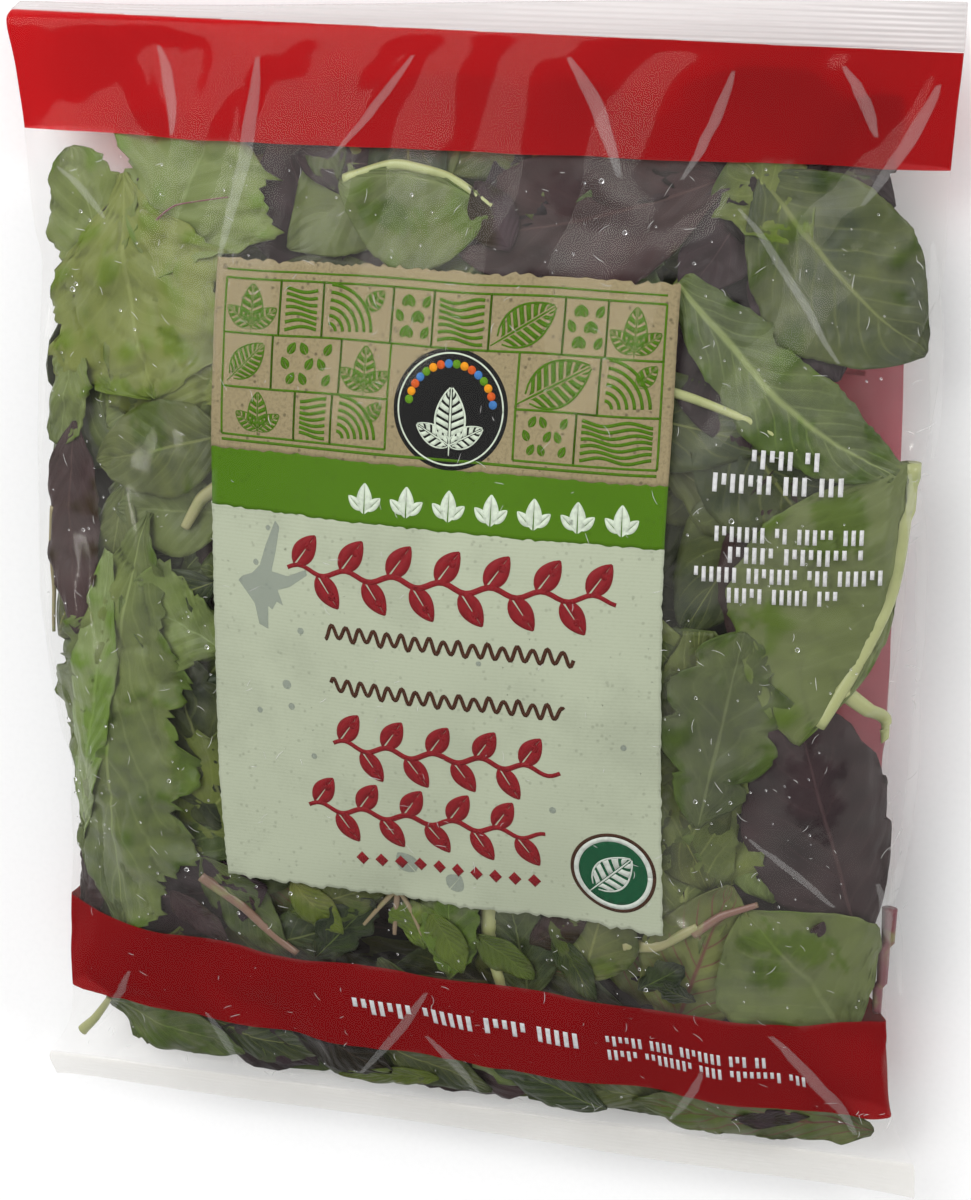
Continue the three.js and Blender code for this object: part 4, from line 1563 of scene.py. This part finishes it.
def make_camera():
    """The camera looks down on the lying bag from the side that the photograph was taken from."""
    s = bpy.context.scene.salad_stage
    back = Vector((math.cos(s.elevation) * math.sin(s.azimuth),
                   -math.cos(s.elevation) * math.cos(s.azimuth), math.sin(s.elevation)))
    aim = Vector((5.8 * MM, 0.5 * MM, SIDE_HEIGHT))
    right = (-back).cross(Vector((0, 1, 0))).normalized()
    up = right.cross(-back)
    right, up = (right * math.cos(s.roll) + up * math.sin(s.roll),
                 up * math.cos(s.roll) - right * math.sin(s.roll))
    bpy.ops.object.camera_add()
    camera = bpy.context.active_object
    camera.data.sensor_width = 36
    camera.data.lens = s.focal
    turn = Matrix((right, up, back)).transposed()
    camera.matrix_world = Matrix.Translation(aim + back * s.distance) @ turn.to_4x4()
    bpy.context.scene.camera = camera


# The add-on: one operator for each piece or group of like pieces

class SALAD_OT_film(bpy.types.Operator):
    """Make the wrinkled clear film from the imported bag"""
    bl_idname = "salad.film"
    bl_label = "Film"

    def execute(self, context):
        make_film()
        return {"FINISHED"}


class SALAD_OT_leaves(bpy.types.Operator):
    """Lay the leaves of each kind into the film"""
    bl_idname = "salad.leaves"
    bl_label = "Leaves"

    def execute(self, context):
        make_all_leaves()
        return {"FINISHED"}


class SALAD_OT_stems(bpy.types.Operator):
    """Lay the loose stems among the leaves"""
    bl_idname = "salad.stems"
    bl_label = "Stems"

    def execute(self, context):
        make_stems()
        return {"FINISHED"}


class SALAD_OT_bands(bpy.types.Operator):
    """Print the red bands round the bag"""
    bl_idname = "salad.bands"
    bl_label = "Red bands"

    def execute(self, context):
        make_bands()
        return {"FINISHED"}


class SALAD_OT_label(bpy.types.Operator):
    """Print the label's fields and its ornament"""
    bl_idname = "salad.label"
    bl_label = "Label"

    def execute(self, context):
        make_label()
        make_ornaments()
        return {"FINISHED"}


class SALAD_OT_marks(bpy.types.Operator):
    """Print the white marks of the front"""
    bl_idname = "salad.marks"
    bl_label = "White marks"

    def execute(self, context):
        make_white_marks()
        return {"FINISHED"}


class SALAD_OT_back(bpy.types.Operator):
    """Print the back and lay its seam"""
    bl_idname = "salad.back"
    bl_label = "Back"

    def execute(self, context):
        make_back_print()
        return {"FINISHED"}


class SALAD_OT_damp(bpy.types.Operator):
    """Mist the film between the leaves, whiten its rolled sides as painted sheen, add its scuffs and painted
    glints, and set drops on it
    """
    bl_idname = "salad.damp"
    bl_label = "Damp and drops"

    def execute(self, context):
        dampen_film()
        make_scuffs_and_painted_glints()
        make_drops()
        return {"FINISHED"}


class SALAD_OT_stage(bpy.types.Operator):
    """Set the floor, the lights and the camera"""
    bl_idname = "salad.stage"
    bl_label = "Stage"

    def execute(self, context):
        make_stage()
        make_camera()
        return {"FINISHED"}


SETTINGS = {"salad_film": FilmSettings, "salad_print": PrintSettings,
            "salad_leaves": LeafSettings, "salad_stage": StageSettings}
OPERATORS = (SALAD_OT_film, SALAD_OT_leaves, SALAD_OT_stems, SALAD_OT_bands, SALAD_OT_label,
             SALAD_OT_marks, SALAD_OT_back, SALAD_OT_damp, SALAD_OT_stage)


class SALAD_PT_panel(bpy.types.Panel):
    """Settings of the bag and the operators that build it"""
    bl_idname = "SALAD_PT_panel"
    bl_label = "Bag of Salad Leaves"
    bl_space_type = "VIEW_3D"
    bl_region_type = "UI"
    bl_category = "Salad Bag"

    def draw(self, context):
        for name in SETTINGS:
            settings = getattr(context.scene, name)
            box = self.layout.box()
            for field in settings.__annotations__:
                box.prop(settings, field)
        for operator in OPERATORS:
            self.layout.operator(operator.bl_idname)


def register():
    for cls in (*SETTINGS.values(), *OPERATORS, SALAD_PT_panel):
        bpy.utils.register_class(cls)
    for name, cls in SETTINGS.items():
        setattr(bpy.types.Scene, name, bpy.props.PointerProperty(type=cls))


def unregister():
    for name in SETTINGS:
        delattr(bpy.types.Scene, name)
    for cls in (SALAD_PT_panel, *reversed(OPERATORS), *reversed(SETTINGS.values())):
        bpy.utils.unregister_class(cls)


def main():
    register()
    bpy.ops.salad.film()
    bpy.ops.salad.leaves()
    bpy.ops.salad.stems()
    bpy.ops.salad.bands()
    bpy.ops.salad.label()
    bpy.ops.salad.marks()
    bpy.ops.salad.back()
    bpy.ops.salad.damp()
    bpy.ops.salad.stage()
    deselect()


if __name__ == "__main__":
    main()
